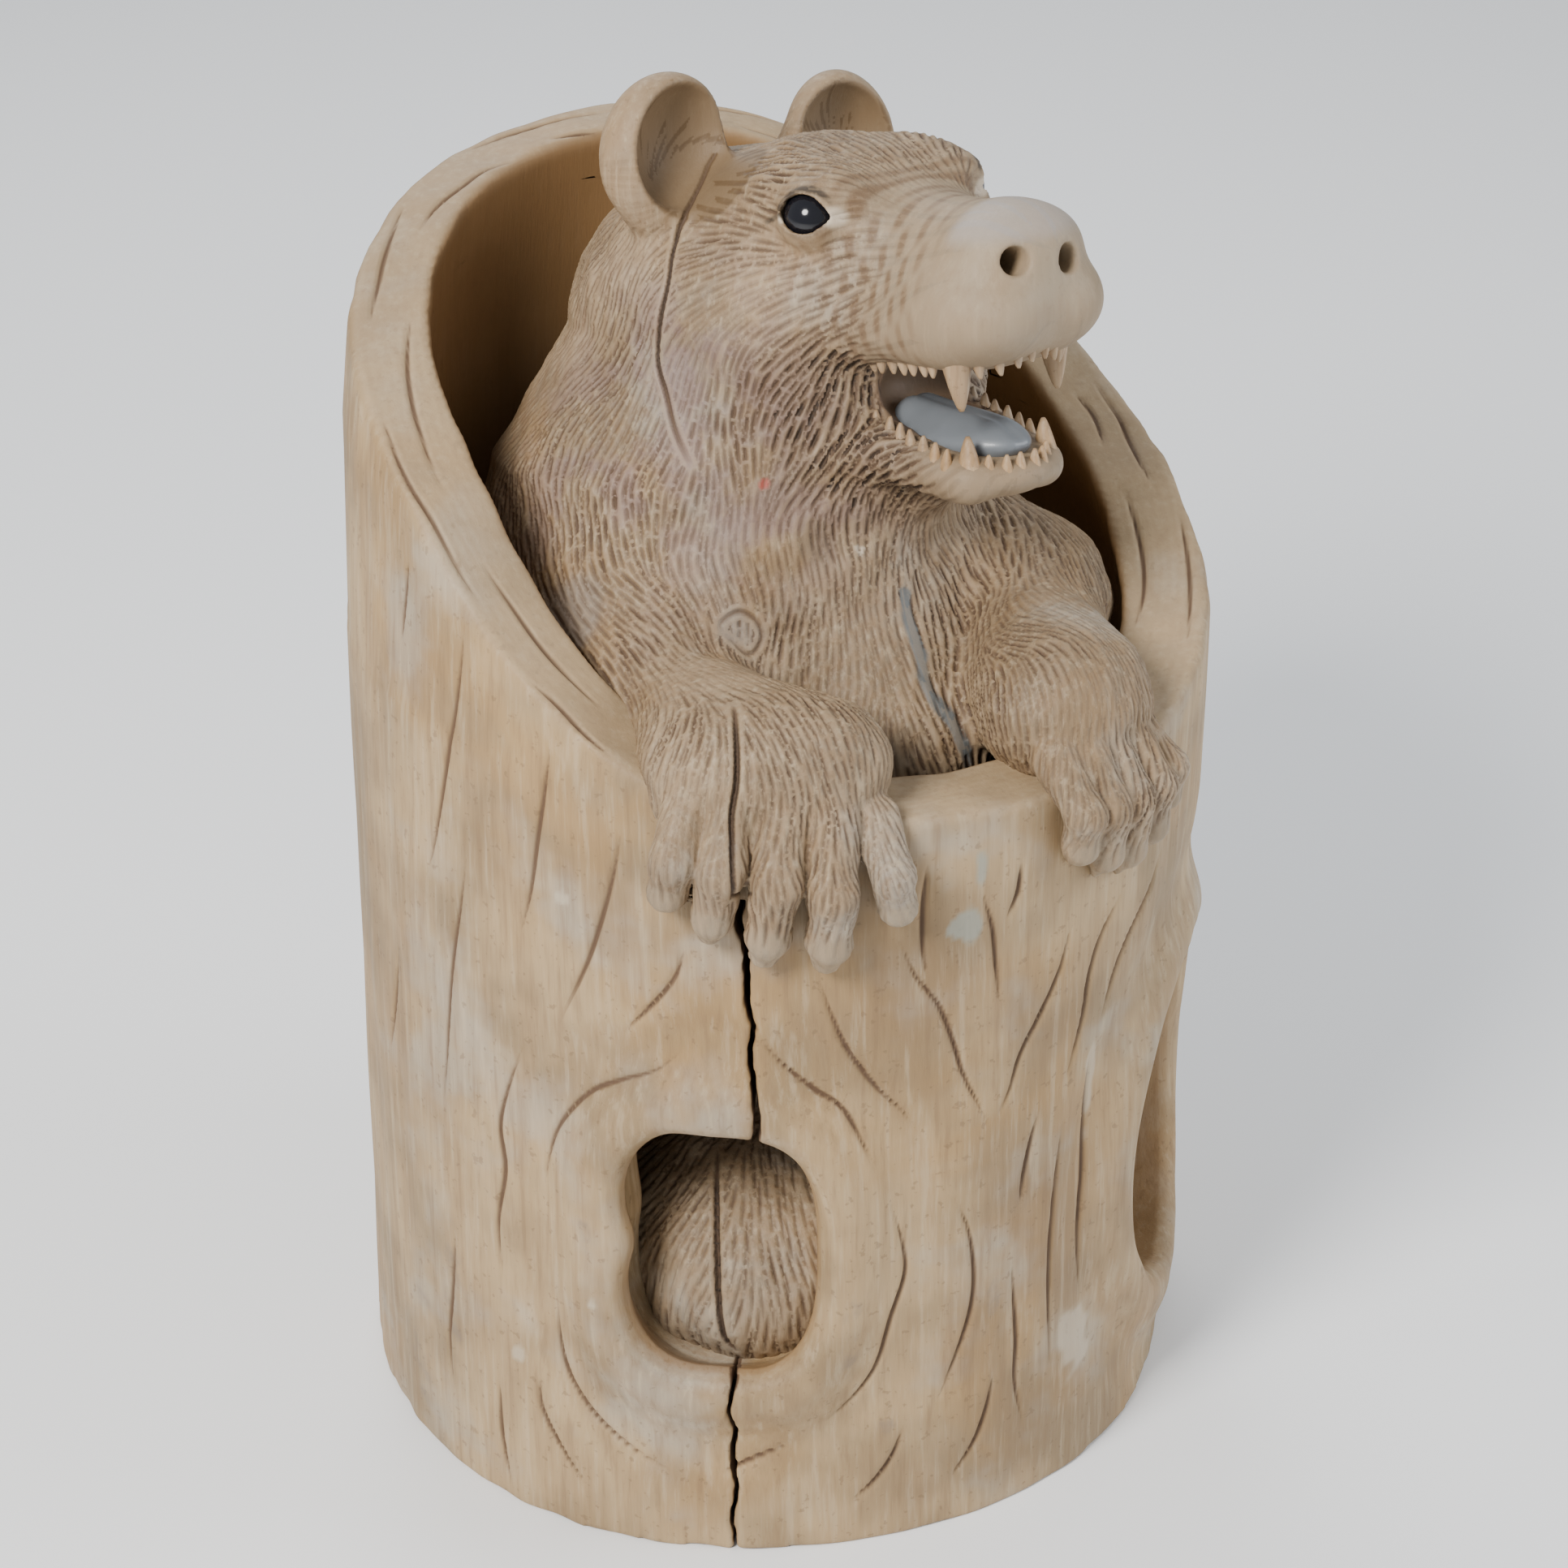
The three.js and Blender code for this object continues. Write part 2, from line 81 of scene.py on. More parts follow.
CRACKS = [
    [
        (-27.6, 306), (-28.1, 296), (-27, 282), (-27.3, 266),
        (-26.6, 250), (-27.1, 232), (-26.3, 216), (-26.7, 190),
    ],
    [
        (-31.2, 96), (-30.4, 82), (-31.1, 70), (-30.2, 58),
        (-31.2, 46), (-30.4, 32), (-31.1, 16), (-30.8, -4),
    ],
]
# Splits in the bark: (degrees from the front, height)
BARK_SPLITS = [
    [(-80, 408), (-81, 391), (-82, 372)],
    [(-68, 394), (-69.5, 363), (-71.5, 332), (-74.5, 297), (-76.5, 279)],
    [(-68, 297), (-69.5, 272), (-71.5, 242), (-73, 211), (-74.5, 177)],
    [(-53, 360), (-54, 340), (-55.5, 317), (-57, 293), (-59, 272)],
    [(-43, 330), (-44.5, 309), (-46.5, 288), (-49, 267), (-53.5, 238)],
    [(-35, 284), (-36.5, 270), (-40, 255), (-44, 241)],
    [(-36, 236), (-39.5, 227), (-44.5, 220), (-49.5, 210), (-54, 192), (-56, 176), (-57, 160)],
    [(-59, 224), (-61.5, 205), (-63.5, 183), (-63, 162), (-64.5, 135), (-64, 110)],
    [(-84.5, 236), (-86.5, 208), (-88.5, 183)],
    [(-73, 119), (-74.5, 85), (-75.5, 62), (-75, 37)],
    [(-65.5, 56), (-65.5, 32), (-64, 7)],
    [(-58.5, 69), (-58, 52), (-55, 35), (-51, 21)],
    [(-55.5, 111), (-55.5, 90), (-54, 72), (-50, 56), (-45, 44), (-39.5, 37)],
    [(-23, 51), (-28, 44), (-32.5, 37)],
    [(-26, 245), (-23, 233), (-19, 222), (-15, 211), (-11.5, 186)],
    [(-18, 270), (-16.5, 254), (-14.5, 238), (-11, 220), (-7.5, 207), (-6, 199)],
    [(-8, 285), (-6, 269), (-3, 254), (-1, 237), (0.5, 220), (2.5, 205), (4, 194)],
    [(-4.5, 316), (-5, 299), (-5, 280), (-4.5, 268)],
    [(3, 298), (4.5, 282), (5, 266), (5.5, 249)],
    [(16.5, 269), (15, 252), (12, 235), (9, 220), (7.5, 206), (5.5, 195)],
    [(8.5, 307), (8, 294), (6.5, 285)],
    [(35.5, 274), (33, 261), (28, 246), (25.5, 234), (23.5, 217)],
    [(26, 270), (22.5, 257), (20.5, 242), (19.5, 224), (17, 201)],
    [(12, 188), (11, 176), (10, 161), (9.5, 148)],
    [(21.5, 204), (21.5, 171), (21.5, 148), (21, 117), (22, 84)],
    [(16.5, 178), (15.5, 146), (15, 112), (15.5, 62)],
    [(-9, 164), (-7.5, 147), (-7, 130), (-9, 110), (-11, 87), (-14, 73), (-18, 62)],
    [(-0.5, 162), (1.5, 147), (2.5, 129), (2.5, 111), (1, 92), (-2.5, 64)],
    [(8.5, 121), (9, 103), (9.5, 82), (9.5, 60), (11, 38)],
    [(6, 69), (5, 52), (3, 36), (-0.5, 22)],
    [(-7.5, 54), (-9, 41), (-11.5, 30), (-15, 21)],
]
# Splits in the rim's flat band: (degrees from the front, radius). Along the band they are measured at
# the radius of its middle.
RIM_MIDDLE = 150
RIM_SPLITS = [
    [(-136, 148), (-127, 146), (-118, 146), (-110, 148)],
    [(-112, 132), (-106, 134), (-98, 137), (-88, 140), (-80, 142)],
    [(-93, 151), (-83, 153), (-75, 152), (-67, 153)],
    [(-71, 142), (-63, 142), (-55, 142.5), (-49, 143)],
    [(-57, 158), (-51, 158.5), (-44, 163)],
    [(-152, 147), (-164, 143), (-179, 139.5)],
    [(-129, 136), (-135, 135), (-142, 131), (-148, 129), (-154, 124)],
    [(-164, 128), (-175, 122)],
    [(95.5, 145), (91, 147), (84, 144)],
    [(95.5, 156), (90, 156.5), (81, 155), (75, 157)],
    [(75, 145), (70, 147), (64, 149), (57.5, 149.5), (51, 148)],
    [(72, 165), (67, 166), (62, 167), (56, 168), (49.5, 169.5)],
    [(102, 150), (114, 146), (127, 143)],
    [(132, 134), (146, 131), (160, 129)],
    [(150, 147), (163, 144), (177, 141)],
]

# Head: places on it are [forward, left, up] from the middle of the skull
HEAD_AT = (22, 9, 483)
HEAD_YAW = 18
HEAD_PITCH = 14
HEAD_ROLL = 7
EYE_SINK = 4
LID_THICKNESS = 2.6
SLIT_HEIGHT = 14.4
SLIT_LENGTH = 21.2
EYE_WAY = ((40, 18, 15), (51, 36, 21))
EARS = [
    {"side": -1, "at": (-17, -48, 45), "tilt": (-20, 0, -12)},
    {"side": 1, "at": (-24, 46, 34), "tilt": (14, 0, 6)},
]
# Right and left, each from deep inside to beyond the skin
NOSTRILS = [((118, -12, 3), (150, -18, 7)), ((118, 6, 1), (150, 9, 4))]
TONGUE = ((62, 0, -62), (100, 0, -66))
# Teeth of the bear's left half: forward, left, gum, tip, width
UPPER_TEETH = [
    *((forward, 26.5, -32.5, -37.5, 5) for forward in (62, 67.5, 73, 78.5, 84, 89.5, 95, 100.5)),
    (110, 23.5, -33, -50, 11),
    (117, 19.5, -32.5, -38, 5.5), (121.5, 14, -31.5, -37.5, 5.5), (125.5, 8, -29.5, -35.5, 5.5),
    (127.5, 2.6, -28, -34, 5),
]
LOWER_TEETH = [
    *((forward, 23.5, -36 - forward / 3, -30.5 - forward / 3, 5) for forward in range(64, 101, 6)),
    (107, 18.5, -71.5, -59.5, 9),
    (112, 13.5, -72.5, -67, 5), (115.5, 8, -73, -67.5, 5), (117, 2.6, -73, -67.5, 5),
]

# Forelegs: two arm points, then wrist and palm as (radius, degrees from the front, height)
PAWS = [
    {
        "thick": 1,
        "blunt": 0.5,
        "shoulder": 46,
        "arm": ((-62, 14, 356), (-77, -56, 345)),
        "wrist": (132, -31.5, 350),
        "palm": ((151, -31, 350), (150, -16, 351)),
        "digits": [
            ((-33.5, 350), (-36.5, 307), 11),
            ((-28, 352), (-31.5, 294), 11.5),
            ((-22, 351), (-25, 284), 12),
            ((-16.5, 346), (-17.5, 280), 12),
            ((-11, 337), (-8.6, 298), 10.5),
        ],
    },
    {
        "thick": 0.97,
        "blunt": 0.14,
        "shoulder": 34,
        "arm": ((58, 4, 354), (87, -54, 348)),
        "wrist": (134, 28, 350),
        "palm": ((150, 21, 351), (150, 29, 345)),
        "digits": [
            ((15, 343), (15.8, 299), 10),
            ((19, 346), (20, 288), 10.5),
            ((23, 346), (24.3, 283), 10.5),
            ((27, 344), (29, 288), 10.5),
            ((31, 338), (32.5, 300), 8.5),
        ],
    },
]
HIND_PAWS = [((-44, -68, 102), (64, 76, 54)), ((46, -50, 92), (56, 62, 58))]

# View of the photograph
CAMERA_TURN = -24.0
CAMERA_RISE = 30.0
CAMERA_TILT = 1.2
CAMERA_DISTANCE = 1.7
CAMERA_AIM = 0.258
CAMERA_ASIDE = 0.0059
CAMERA_SENSOR = 36

# Stage, in metres but for the floor's half width
FLOOR_HALF = 6000
FLOOR_GAP = 0.0002
SKY_COLOUR = (0.86, 0.9, 0.95, 1)
SKY_STRENGTH = 0.55
LIGHTS_AIM = (0, 0, 0.28)
# Name, place, size, colour
LIGHTS = [
    ("Key", (-1.6, -1.0, 1.9), 0.9, (1, 0.97, 0.93)),
    ("Fill", (1.7, -0.9, 1.0), 1.2, (0.93, 0.96, 1)),
    ("Back", (0.3, 1.5, 1.5), 1.0, (1, 1, 1)),
]
BACK_SHARE = 0.6


# Small helpers on arrays

def mix(a, b, t):
    return a + (b - a) * t


def smooth_step(low, high, x):
    t = np.clip((x - low) / (high - low), 0, 1)
    return t * t * (3 - 2 * t)


def polar(radius, angle, z):
    a = np.radians(angle)
    return np.stack(np.broadcast_arrays(radius * np.sin(a), -radius * np.cos(a), z), -1).astype("f4")


def length(v):
    return np.sqrt(np.einsum("...i,...i->...", v, v))


def ripple(p, size, seed, octaves=7):
    """A smooth random field from -1 to 1 with bumps of about that size."""
    draw = np.random.default_rng(seed)
    total = np.zeros(len(p), "f4")
    for _ in range(octaves):
        way = draw.normal(size=3)
        way *= 2 * np.pi / (size * draw.uniform(1.4, 3.2)) / np.linalg.norm(way)
        total += np.sin(p @ way.astype("f4") + draw.uniform(0, 6.28))
    return total / np.sqrt(octaves)


# Forms: functions from points to distances, below zero inside

def soft_min(a, b, k):
    return np.minimum(a, b) - (np.maximum(k - np.abs(a - b), 0) / k) ** 2 * k * 0.25


def soft_cut(a, b, k):
    """Form a without form b, with a rounded edge."""
    return -soft_min(-a, b, k)


def turned_axes(turn):
    x, y, z = np.radians(turn)
    rx = np.array([[1, 0, 0], [0, np.cos(x), -np.sin(x)], [0, np.sin(x), np.cos(x)]])
    ry = np.array([[np.cos(y), 0, np.sin(y)], [0, 1, 0], [-np.sin(y), 0, np.cos(y)]])
    rz = np.array([[np.cos(z), -np.sin(z), 0], [np.sin(z), np.cos(z), 0], [0, 0, 1]])
    return (rz @ ry @ rx).astype("f4")


def blob(centre, radii, turn=(0, 0, 0)):
    middle = np.array(centre, "f4")
    size = np.array(radii, "f4")
    axes = turned_axes(turn)

    def form(p):
        q = (p - middle) @ axes if any(turn) else p - middle
        k0 = length(q / size)
        k1 = length(q / (size * size))
        return np.where(k1 < 1e-6, -size.min(), k0 * (k0 - 1) / np.maximum(k1, 1e-6))

    return form


def limb(a, b, ra, rb):
    start = np.array(a, "f4")
    along = np.array(b, "f4") - start
    length2 = float(along @ along)

    def form(p):
        off = p - start
        t = np.clip(off @ along / length2, 0, 1)
        return length(off - t[:, None] * along) - mix(ra, rb, t)

    return form


def joined(first, *rest):
    def form(p):
        d = first(p)
        for other, k in rest:
            d = soft_min(d, other(p), k)
        return d

    return form


# Head frame

def head_axes():
    yaw, pitch, roll = np.radians([HEAD_YAW, HEAD_PITCH, HEAD_ROLL])
    forward0 = np.array([np.sin(yaw), -np.cos(yaw), 0])
    left0 = np.array([np.cos(yaw), np.sin(yaw), 0])
    z_up = np.array([0, 0, 1.0])
    forward = forward0 * np.cos(pitch) + z_up * np.sin(pitch)
    up0 = z_up * np.cos(pitch) - forward0 * np.sin(pitch)
    left = left0 * np.cos(roll) - up0 * np.sin(roll)
    up = up0 * np.cos(roll) + left0 * np.sin(roll)
    return np.stack([forward, left, up], 1).astype("f4")


HEAD_AXES = head_axes()


def to_head(p):
    return (p - np.array(HEAD_AT, "f4")) @ HEAD_AXES


def from_head(q):
    return np.asarray(q, "f4") @ HEAD_AXES.T + np.array(HEAD_AT, "f4")


upper_head = joined(
    blob((-8, 0, -14), (60, 60, 52)),
    (blob((30, 0, 0), (44, 46, 38)), 20),
    (blob((22, 0, 24), (36, 40, 21)), 16),
    (blob((6, 27, -36), (50, 38, 46)), 22),
    (blob((6, -27, -36), (50, 38, 46)), 22),
    (blob((24, 0, -60), (44, 44, 36)), 20),
    (blob((43, 29, 28), (23, 15, 12)), 14),
    (blob((46, -28, 27), (22, 14, 12)), 14),
    (limb((50, 0, -4), (108, 0, -5), 32, 28), 20),
    (blob((107, 15, -14), (33, 24, 21)), 12),
    (blob((107, -15, -14), (33, 24, 21)), 12),
    (blob((119, 0, 7), (21, 27, 17)), 8),
    (limb((60, 27, -20), (104, 25, -21), 13, 11), 8),
    (limb((60, -27, -20), (104, -25, -21), 13, 11), 8),
)
lower_jaw = joined(
    limb((24, 0, -68), (80, 0, -74), 36, 14),
    (limb((56, 24, -66), (104, 19, -77), 12, 8), 8),
    (limb((56, -24, -66), (104, -19, -77), 12, 8), 8),
    (blob((104, 0, -77), (17, 22, 8.5)), 8),
)
mouth_hollow = blob((84, 0, -47), (41, 24, 18))
nose_pad = blob((119, 0, 7), (21, 27, 17))


def ear_shell(ear):
    return blob(ear["at"], (17, 26, 30), ear["tilt"])


def ear_cup(ear):
    f, left, u = ear["at"]
    return blob((f + 16, left - 4 * ear["side"], u + 1), (22, 24, 26), ear["tilt"])


def eye_middle(side):
    """On the line out through the eye, the place where the skin is EYE_SINK away."""
    start, end = (np.array([f, left * side, u], "f4") for f, left, u in EYE_WAY)
    steps = mix(start, end, np.arange(0, 3, 0.01, dtype="f4")[:, None])
    return steps[np.argmax(upper_head(steps) >= -EYE_SINK)]


def eye_axes(side):
    """Out of the eye, along the lids towards the nose, and up."""
    out = np.array([0.42, 0.88 * side, 0.2])
    out /= np.linalg.norm(out)
    along = np.array([0.88, -0.42 * side, -0.05])
    along -= out * (along @ out)
    along /= np.linalg.norm(along)
    up = np.cross(out, along) * (-side)
    return np.stack([out, along, up if up[2] > 0 else -up], 1).astype("f4")


def head_form(q, eye_radius):
    """The carved head in head coordinates, with ears, nostrils, mouth and eyelids."""
    d = upper_head(q)
    for ear in EARS:
        d = soft_min(d, soft_cut(ear_shell(ear)(q), ear_cup(ear)(q), 3), 6)
    d = soft_min(d, lower_jaw(q), 9)
    d = soft_cut(d, mouth_hollow(q), 2.5)
    for nostril in NOSTRILS:
        d = soft_cut(d, limb(*nostril, 4.5, 6)(q), 2)
    for side in (-1, 1):
        middle = eye_middle(side)
        local = (q - middle) @ eye_axes(side)
        ball = length(local)
        d = soft_min(d, ball - (eye_radius + LID_THICKNESS), 4)
        out, along, up = local.T
        half = SLIT_HEIGHT / 2 * (1 - np.clip(np.abs(along) / (SLIT_LENGTH / 2), 0, 1) ** 2.2)
        slit = np.maximum(np.abs(up + 0.06 * along - 0.4) - half, 1.5 - out)
        d = soft_cut(d, np.maximum(slit, ball - (eye_radius + 9)), 1)
        d = np.maximum(d, eye_radius + 0.15 - ball)
    return d


body_form = joined(
    limb((4, 36, 446), (-4, 24, 396), 64, 92),
    (limb((14, 8, 436), (0, 6, 390), 58, 78), 20),
    (blob((0, 8, 360), (96, 84, 62)), 24),
    (blob((0, 0, 330), (86, 96, 80)), 30),
    (blob((12, -62, 318), (52, 66, 52)), 20),
    (blob((0, 4, 230), (92, 92, 110)), 40),
    (limb((0, 8, 130), (0, 8, 106), 96, 96), 20),
    *((limb(*paw["arm"], paw["shoulder"], 33 * paw["thick"]), paw["shoulder"] * 0.75) for paw in PAWS),
)


def paw_form(paw):
    elbow = paw["arm"][1]
    thick, blunt = paw["thick"], paw["blunt"]
    wrist = polar(*paw["wrist"])
    inner, outer = (polar(*at) for at in paw["palm"])
    middle = (inner + outer) / 2
    form = joined(
        limb(elbow, wrist, 32.5 * thick, 27 * thick),
        (limb(wrist, middle, 27 * thick, 28 * thick), 12),
        (limb(inner, outer, 28 * thick, 25 * thick), 14),
    )
    for knuckle, tip, radius in paw["digits"]:

        def at(r, share):
            return polar(r, mix(knuckle[0], tip[0], share), mix(knuckle[1], tip[1], share))

        digit = joined(
            limb(at(168, 0), at(185, 0.42), radius, radius - 2.6),
            (limb(at(185, 0.42), at(181, 0.78), radius - 2.6, radius * 0.7), 4),
            (limb(at(181, 0.78), at(176, 1 - blunt * 0.14), radius * 0.68, radius * blunt), 3),
        )
        form = joined(form, (digit, 1.2))
    return form


paw_forms = [paw_form(paw) for paw in PAWS]


def where_near(p, low, high, form, far=90):
    """Distances of a form inside a box, and a plain far value outside it."""
    d = np.full(len(p), far, "f4")
    near = ((p > np.array(low, "f4")) & (p < np.array(high, "f4"))).all(1)
    if near.any():
        d[near] = form(p[near])
    return d


def bear_form(p, eye_radius):
    """The whole bear above the hollow's lower half."""
    q = to_head(p)
    head = where_near(q, (-125, -125, -150), (190, 125, 130), lambda part: head_form(part, eye_radius))
    d = soft_min(body_form(p), np.where(p[:, 2] > 330, head, 90), 24)
    for form, side in zip(paw_forms, (-1, 1)):
        box = sorted((side * 5, side * 190))
        d = soft_min(d, where_near(p, (box[0] - 25, -230, 240), (box[1] + 25, 0, 430), form), 12)
    return d


def lower_body_form(p):
    d = body_form(p)
    for at, radii in HIND_PAWS:
        d = soft_min(d, blob(at, radii)(p), 5)
    return d


# Log

def rim_height(angle):
    at = np.array([a for a, _ in RIM], float)
    height = np.array([h for _, h in RIM], float)
    a = np.concatenate([at[-2:] - 360, at, at[:3] + 360])
    h = np.concatenate([height[-2:], height, height[:3]])
    slope = (h[2:] - h[:-2]) / (a[2:] - a[:-2])
    turned = (np.asarray(angle, float) + 540) % 360 - 180
    turned = np.where(turned < a[1], turned + 360, turned)
    i = np.clip(np.searchsorted(a, turned, side="right") - 1, 1, len(a) - 3)
    span = a[i + 1] - a[i]
    t = (turned - a[i]) / span
    t2, t3 = t * t, t * t * t
    return (
        (2 * t3 - 3 * t2 + 1) * h[i]
        + (t3 - 2 * t2 + t) * slope[i - 1] * span
        + (3 * t2 - 2 * t3) * h[i + 1]
        + (t3 - t2) * slope[i] * span
    )


def hole_offset(hole, angle, z):
    """Distance on the bark from the edge of a knot hole, below zero inside it."""
    s = np.radians((angle - hole["angle"] + 540) % 360 - 180) * TRUNK_RADIUS
    t = z - hole["height"]
    direction = np.degrees(np.arctan2(t, s))
    half_width, half_height = hole["half"]
    c = np.abs(np.cos(np.radians(direction))) / half_width
    n = np.abs(np.sin(np.radians(direction))) / half_height
    from_notch = np.abs((direction - hole["notch_at"] + 540) % 360 - 180)
    edge = (c ** hole["square"] + n ** hole["square"]) ** (-1 / hole["square"])
    return np.hypot(s, t) - edge * (1 - hole["notch"] * np.exp(-((from_notch / 20) ** 2)))


def log_radius(angle, z):
    a = np.radians(angle)
    lumps = 1.4 * np.sin(2 * a + 0.9) + 1.1 * np.sin(3 * a - 1.2 + z * 0.006)
    lumps = lumps + 0.7 * np.sin(5 * a + z * 0.011)
    above = mix(LEAN, 0, np.clip((z - LEAN_UNTIL) / LEAN_FADE, 0, 1))
    lean = np.where(z < LEAN_UNTIL, mix(-LEAN, LEAN, z / LEAN_UNTIL), above)
    taper = TAPER * np.maximum(z - TAPER_FROM, 0)
    return TRUNK_RADIUS - taper + lean * np.cos(a - np.radians(LEAN_TO)) + lumps


def trunk_radius(angle, z):
    lips = 0
    for hole in KNOT_HOLES:
        off = hole_offset(hole, angle, z)
        swell = np.exp(-(((off - 12) / 14) ** 2)) - 0.6 * np.exp(-(((off - 40) / 14) ** 2))
        lips = lips + hole["lip"] * swell
    return log_radius(angle, z) + lips


def wall_thickness(angle):
    return mix(WALL_FRONT, WALL_BACK, (1 - np.cos(np.radians(angle))) / 2)


# Skin of a form: one vertex in each cell that the surface crosses

def net(values, closed=False):
    """Vertices in cell units, quads and cells of the surface where the values on a grid change sign.
    A closed net wraps round the first axis, whose last two layers repeat the first two."""
    inside = values < 0
    count = np.zeros(tuple(n - 1 for n in values.shape), "i1")
    corners = [(i, j, k) for i in (0, 1) for j in (0, 1) for k in (0, 1)]
    nx, ny, nz = values.shape
    for i, j, k in corners:
        count += inside[i : nx - 1 + i, j : ny - 1 + j, k : nz - 1 + k]
    active = (count > 0) & (count < 8)
    cells = np.argwhere(active)
    index = np.full(active.shape, -1, "i4")
    index[active] = np.arange(len(cells))
    level = [values[cells[:, 0] + i, cells[:, 1] + j, cells[:, 2] + k] for i, j, k in corners]
    place = np.zeros((len(cells), 3), "f4")
    crossings = np.zeros(len(cells), "f4")
    for a in range(8):
        for step in (1, 2, 4):
            b = a + step
            if a & step or b > 7:
                continue
            crossed = (level[a] < 0) != (level[b] < 0)
            t = level[a] / np.where(crossed, level[a] - level[b], 1)
            point = mix(np.array(corners[a], "f4"), np.array(corners[b], "f4"), t[:, None])
            place += np.where(crossed[:, None], point, 0)
            crossings += crossed
    place = cells + place / crossings[:, None]
    if closed:
        index[-1] = index[0]
    quads = []
    for axis in range(3):
        b, c = (axis + 1) % 3, (axis + 2) % 3
        low = [slice(None)] * 3
        high = [slice(None)] * 3
        low[axis], high[axis] = slice(0, -1), slice(1, None)
        changed = inside[tuple(low)] != inside[tuple(high)]
        edge = np.argwhere(changed)
        keep = (edge[:, b] > 0) & (edge[:, c] > 0)
        keep &= (edge[:, b] < values.shape[b] - 1) & (edge[:, c] < values.shape[c] - 1)
        if closed and axis == 0:
            keep &= edge[:, 0] < values.shape[0] - 2
        edge = edge[keep]
        around = []
        for db, dc in ((1, 1), (0, 1), (0, 0), (1, 0)):
            cell = edge.copy()
            cell[:, b] -= db
            cell[:, c] -= dc
            around.append(index[cell[:, 0], cell[:, 1], cell[:, 2]])
        quad = np.stack(around, 1)
        solid_first = inside[edge[:, 0], edge[:, 1], edge[:, 2]]
        quad[~solid_first] = quad[~solid_first][:, ::-1]
        quads.append(quad)
    quads = np.concatenate(quads)
    used = np.zeros(len(place), bool)
    used[quads.ravel()] = True
    renumber = np.cumsum(used) - 1
    return place[used], renumber[quads], cells[used]


def skin(form, low, high, step, block=5):
    """Skin of a form inside a box. Only the blocks near the surface are worked out finely."""
    counts = [int(np.ceil((h - l) / (step * block))) for l, h in zip(low, high)]
    axes = [l + np.arange(n * block + 1, dtype="f4") * step for l, n in zip(low, counts)]
    middles = [l + (np.arange(n, dtype="f4") + 0.5) * step * block for l, n in zip(low, counts)]
    coarse = np.stack(np.meshgrid(*middles, indexing="ij"), -1).reshape(-1, 3)
    far = form(coarse).reshape(counts)
    near = np.abs(far) < step * block * 1.15 + 3
    values = np.empty([len(a) for a in axes], "f4")
    spread = np.repeat(np.repeat(np.repeat(far, block, 0), block, 1), block, 2)
    values[:-1, :-1, :-1] = spread
    values[-1], values[:, -1], values[:, :, -1] = values[-2], values[:, -2], values[:, :, -2]
    wanted = np.zeros(values.shape, bool)
    wanted[:-1, :-1, :-1] = np.repeat(np.repeat(np.repeat(near, block, 0), block, 1), block, 2)
    for axis in range(3):
        moved = np.roll(wanted, 1, axis)
        first = [slice(None)] * 3
        first[axis] = 0
        moved[tuple(first)] = False
        wanted |= moved
    places = np.argwhere(wanted)
    found = np.empty(len(places), "f4")
    for start in range(0, len(places), BATCH):
        part = places[start : start + BATCH]
        points = np.stack([axes[i][part[:, i]] for i in range(3)], 1)
        found[start : start + BATCH] = form(points)
    values[wanted] = found
    place, quads, _ = net(values)
    return place * step + np.array(low, "f4"), quads


def normals_of(points, quads):
    """Outward normal at each vertex."""
    a, b, c, d = (points[quads[:, i]] for i in range(4))
    flat = np.cross(c - a, d - b)
    total = np.zeros_like(points)
    for i in range(3):
        for corner in range(4):
            total[:, i] += np.bincount(quads[:, corner], flat[:, i], len(points))
    return total / np.maximum(length(total), 1e-9)[:, None]


def part_of(points, quads, normals, marks):
    """Points, quads, marks and normals of some of the quads, so that neighbours share their shading."""
    used = np.unique(quads)
    renumber = np.zeros(len(points), "i4")
    renumber[used] = np.arange(len(used))
    kept = {word: amount[used] for word, amount in marks.items()}
    return points[used], renumber[quads], kept, normals[used]


def mesh_object(name, points, faces, marks=None, normals=None, material=None, grain=None):
    """A mesh of faces with the same number of corners, from points in millimetres."""
    sides = faces.shape[1]
    mesh = bpy.data.meshes.new(name)
    mesh.vertices.add(len(points))
    mesh.vertices.foreach_set("co", (points * MM).astype("f4").ravel())
    mesh.loops.add(faces.size)
    mesh.loops.foreach_set("vertex_index", faces.astype("i4").ravel())
    mesh.polygons.add(len(faces))
    mesh.polygons.foreach_set("loop_start", np.arange(0, faces.size, sides, dtype="i4"))
    mesh.update(calc_edges=True)
    mesh.shade_smooth()
    for mark, amounts in (marks or {}).items():
        layer = mesh.attributes.new(mark, "FLOAT", "POINT")
        layer.data.foreach_set("value", amounts.astype("f4"))
    if grain is not None:
        layer = mesh.attributes.new("grain", "FLOAT_VECTOR", "CORNER")
        layer.data.foreach_set("vector", grain.astype("f4").ravel())
    if normals is not None:
        mesh.normals_split_custom_set_from_vertices(normals.astype(float).tolist())
    if material:
        mesh.materials.append(material)
    found = bpy.data.objects.new(name, mesh)
    bpy.context.collection.objects.link(found)
    return found


# Fur

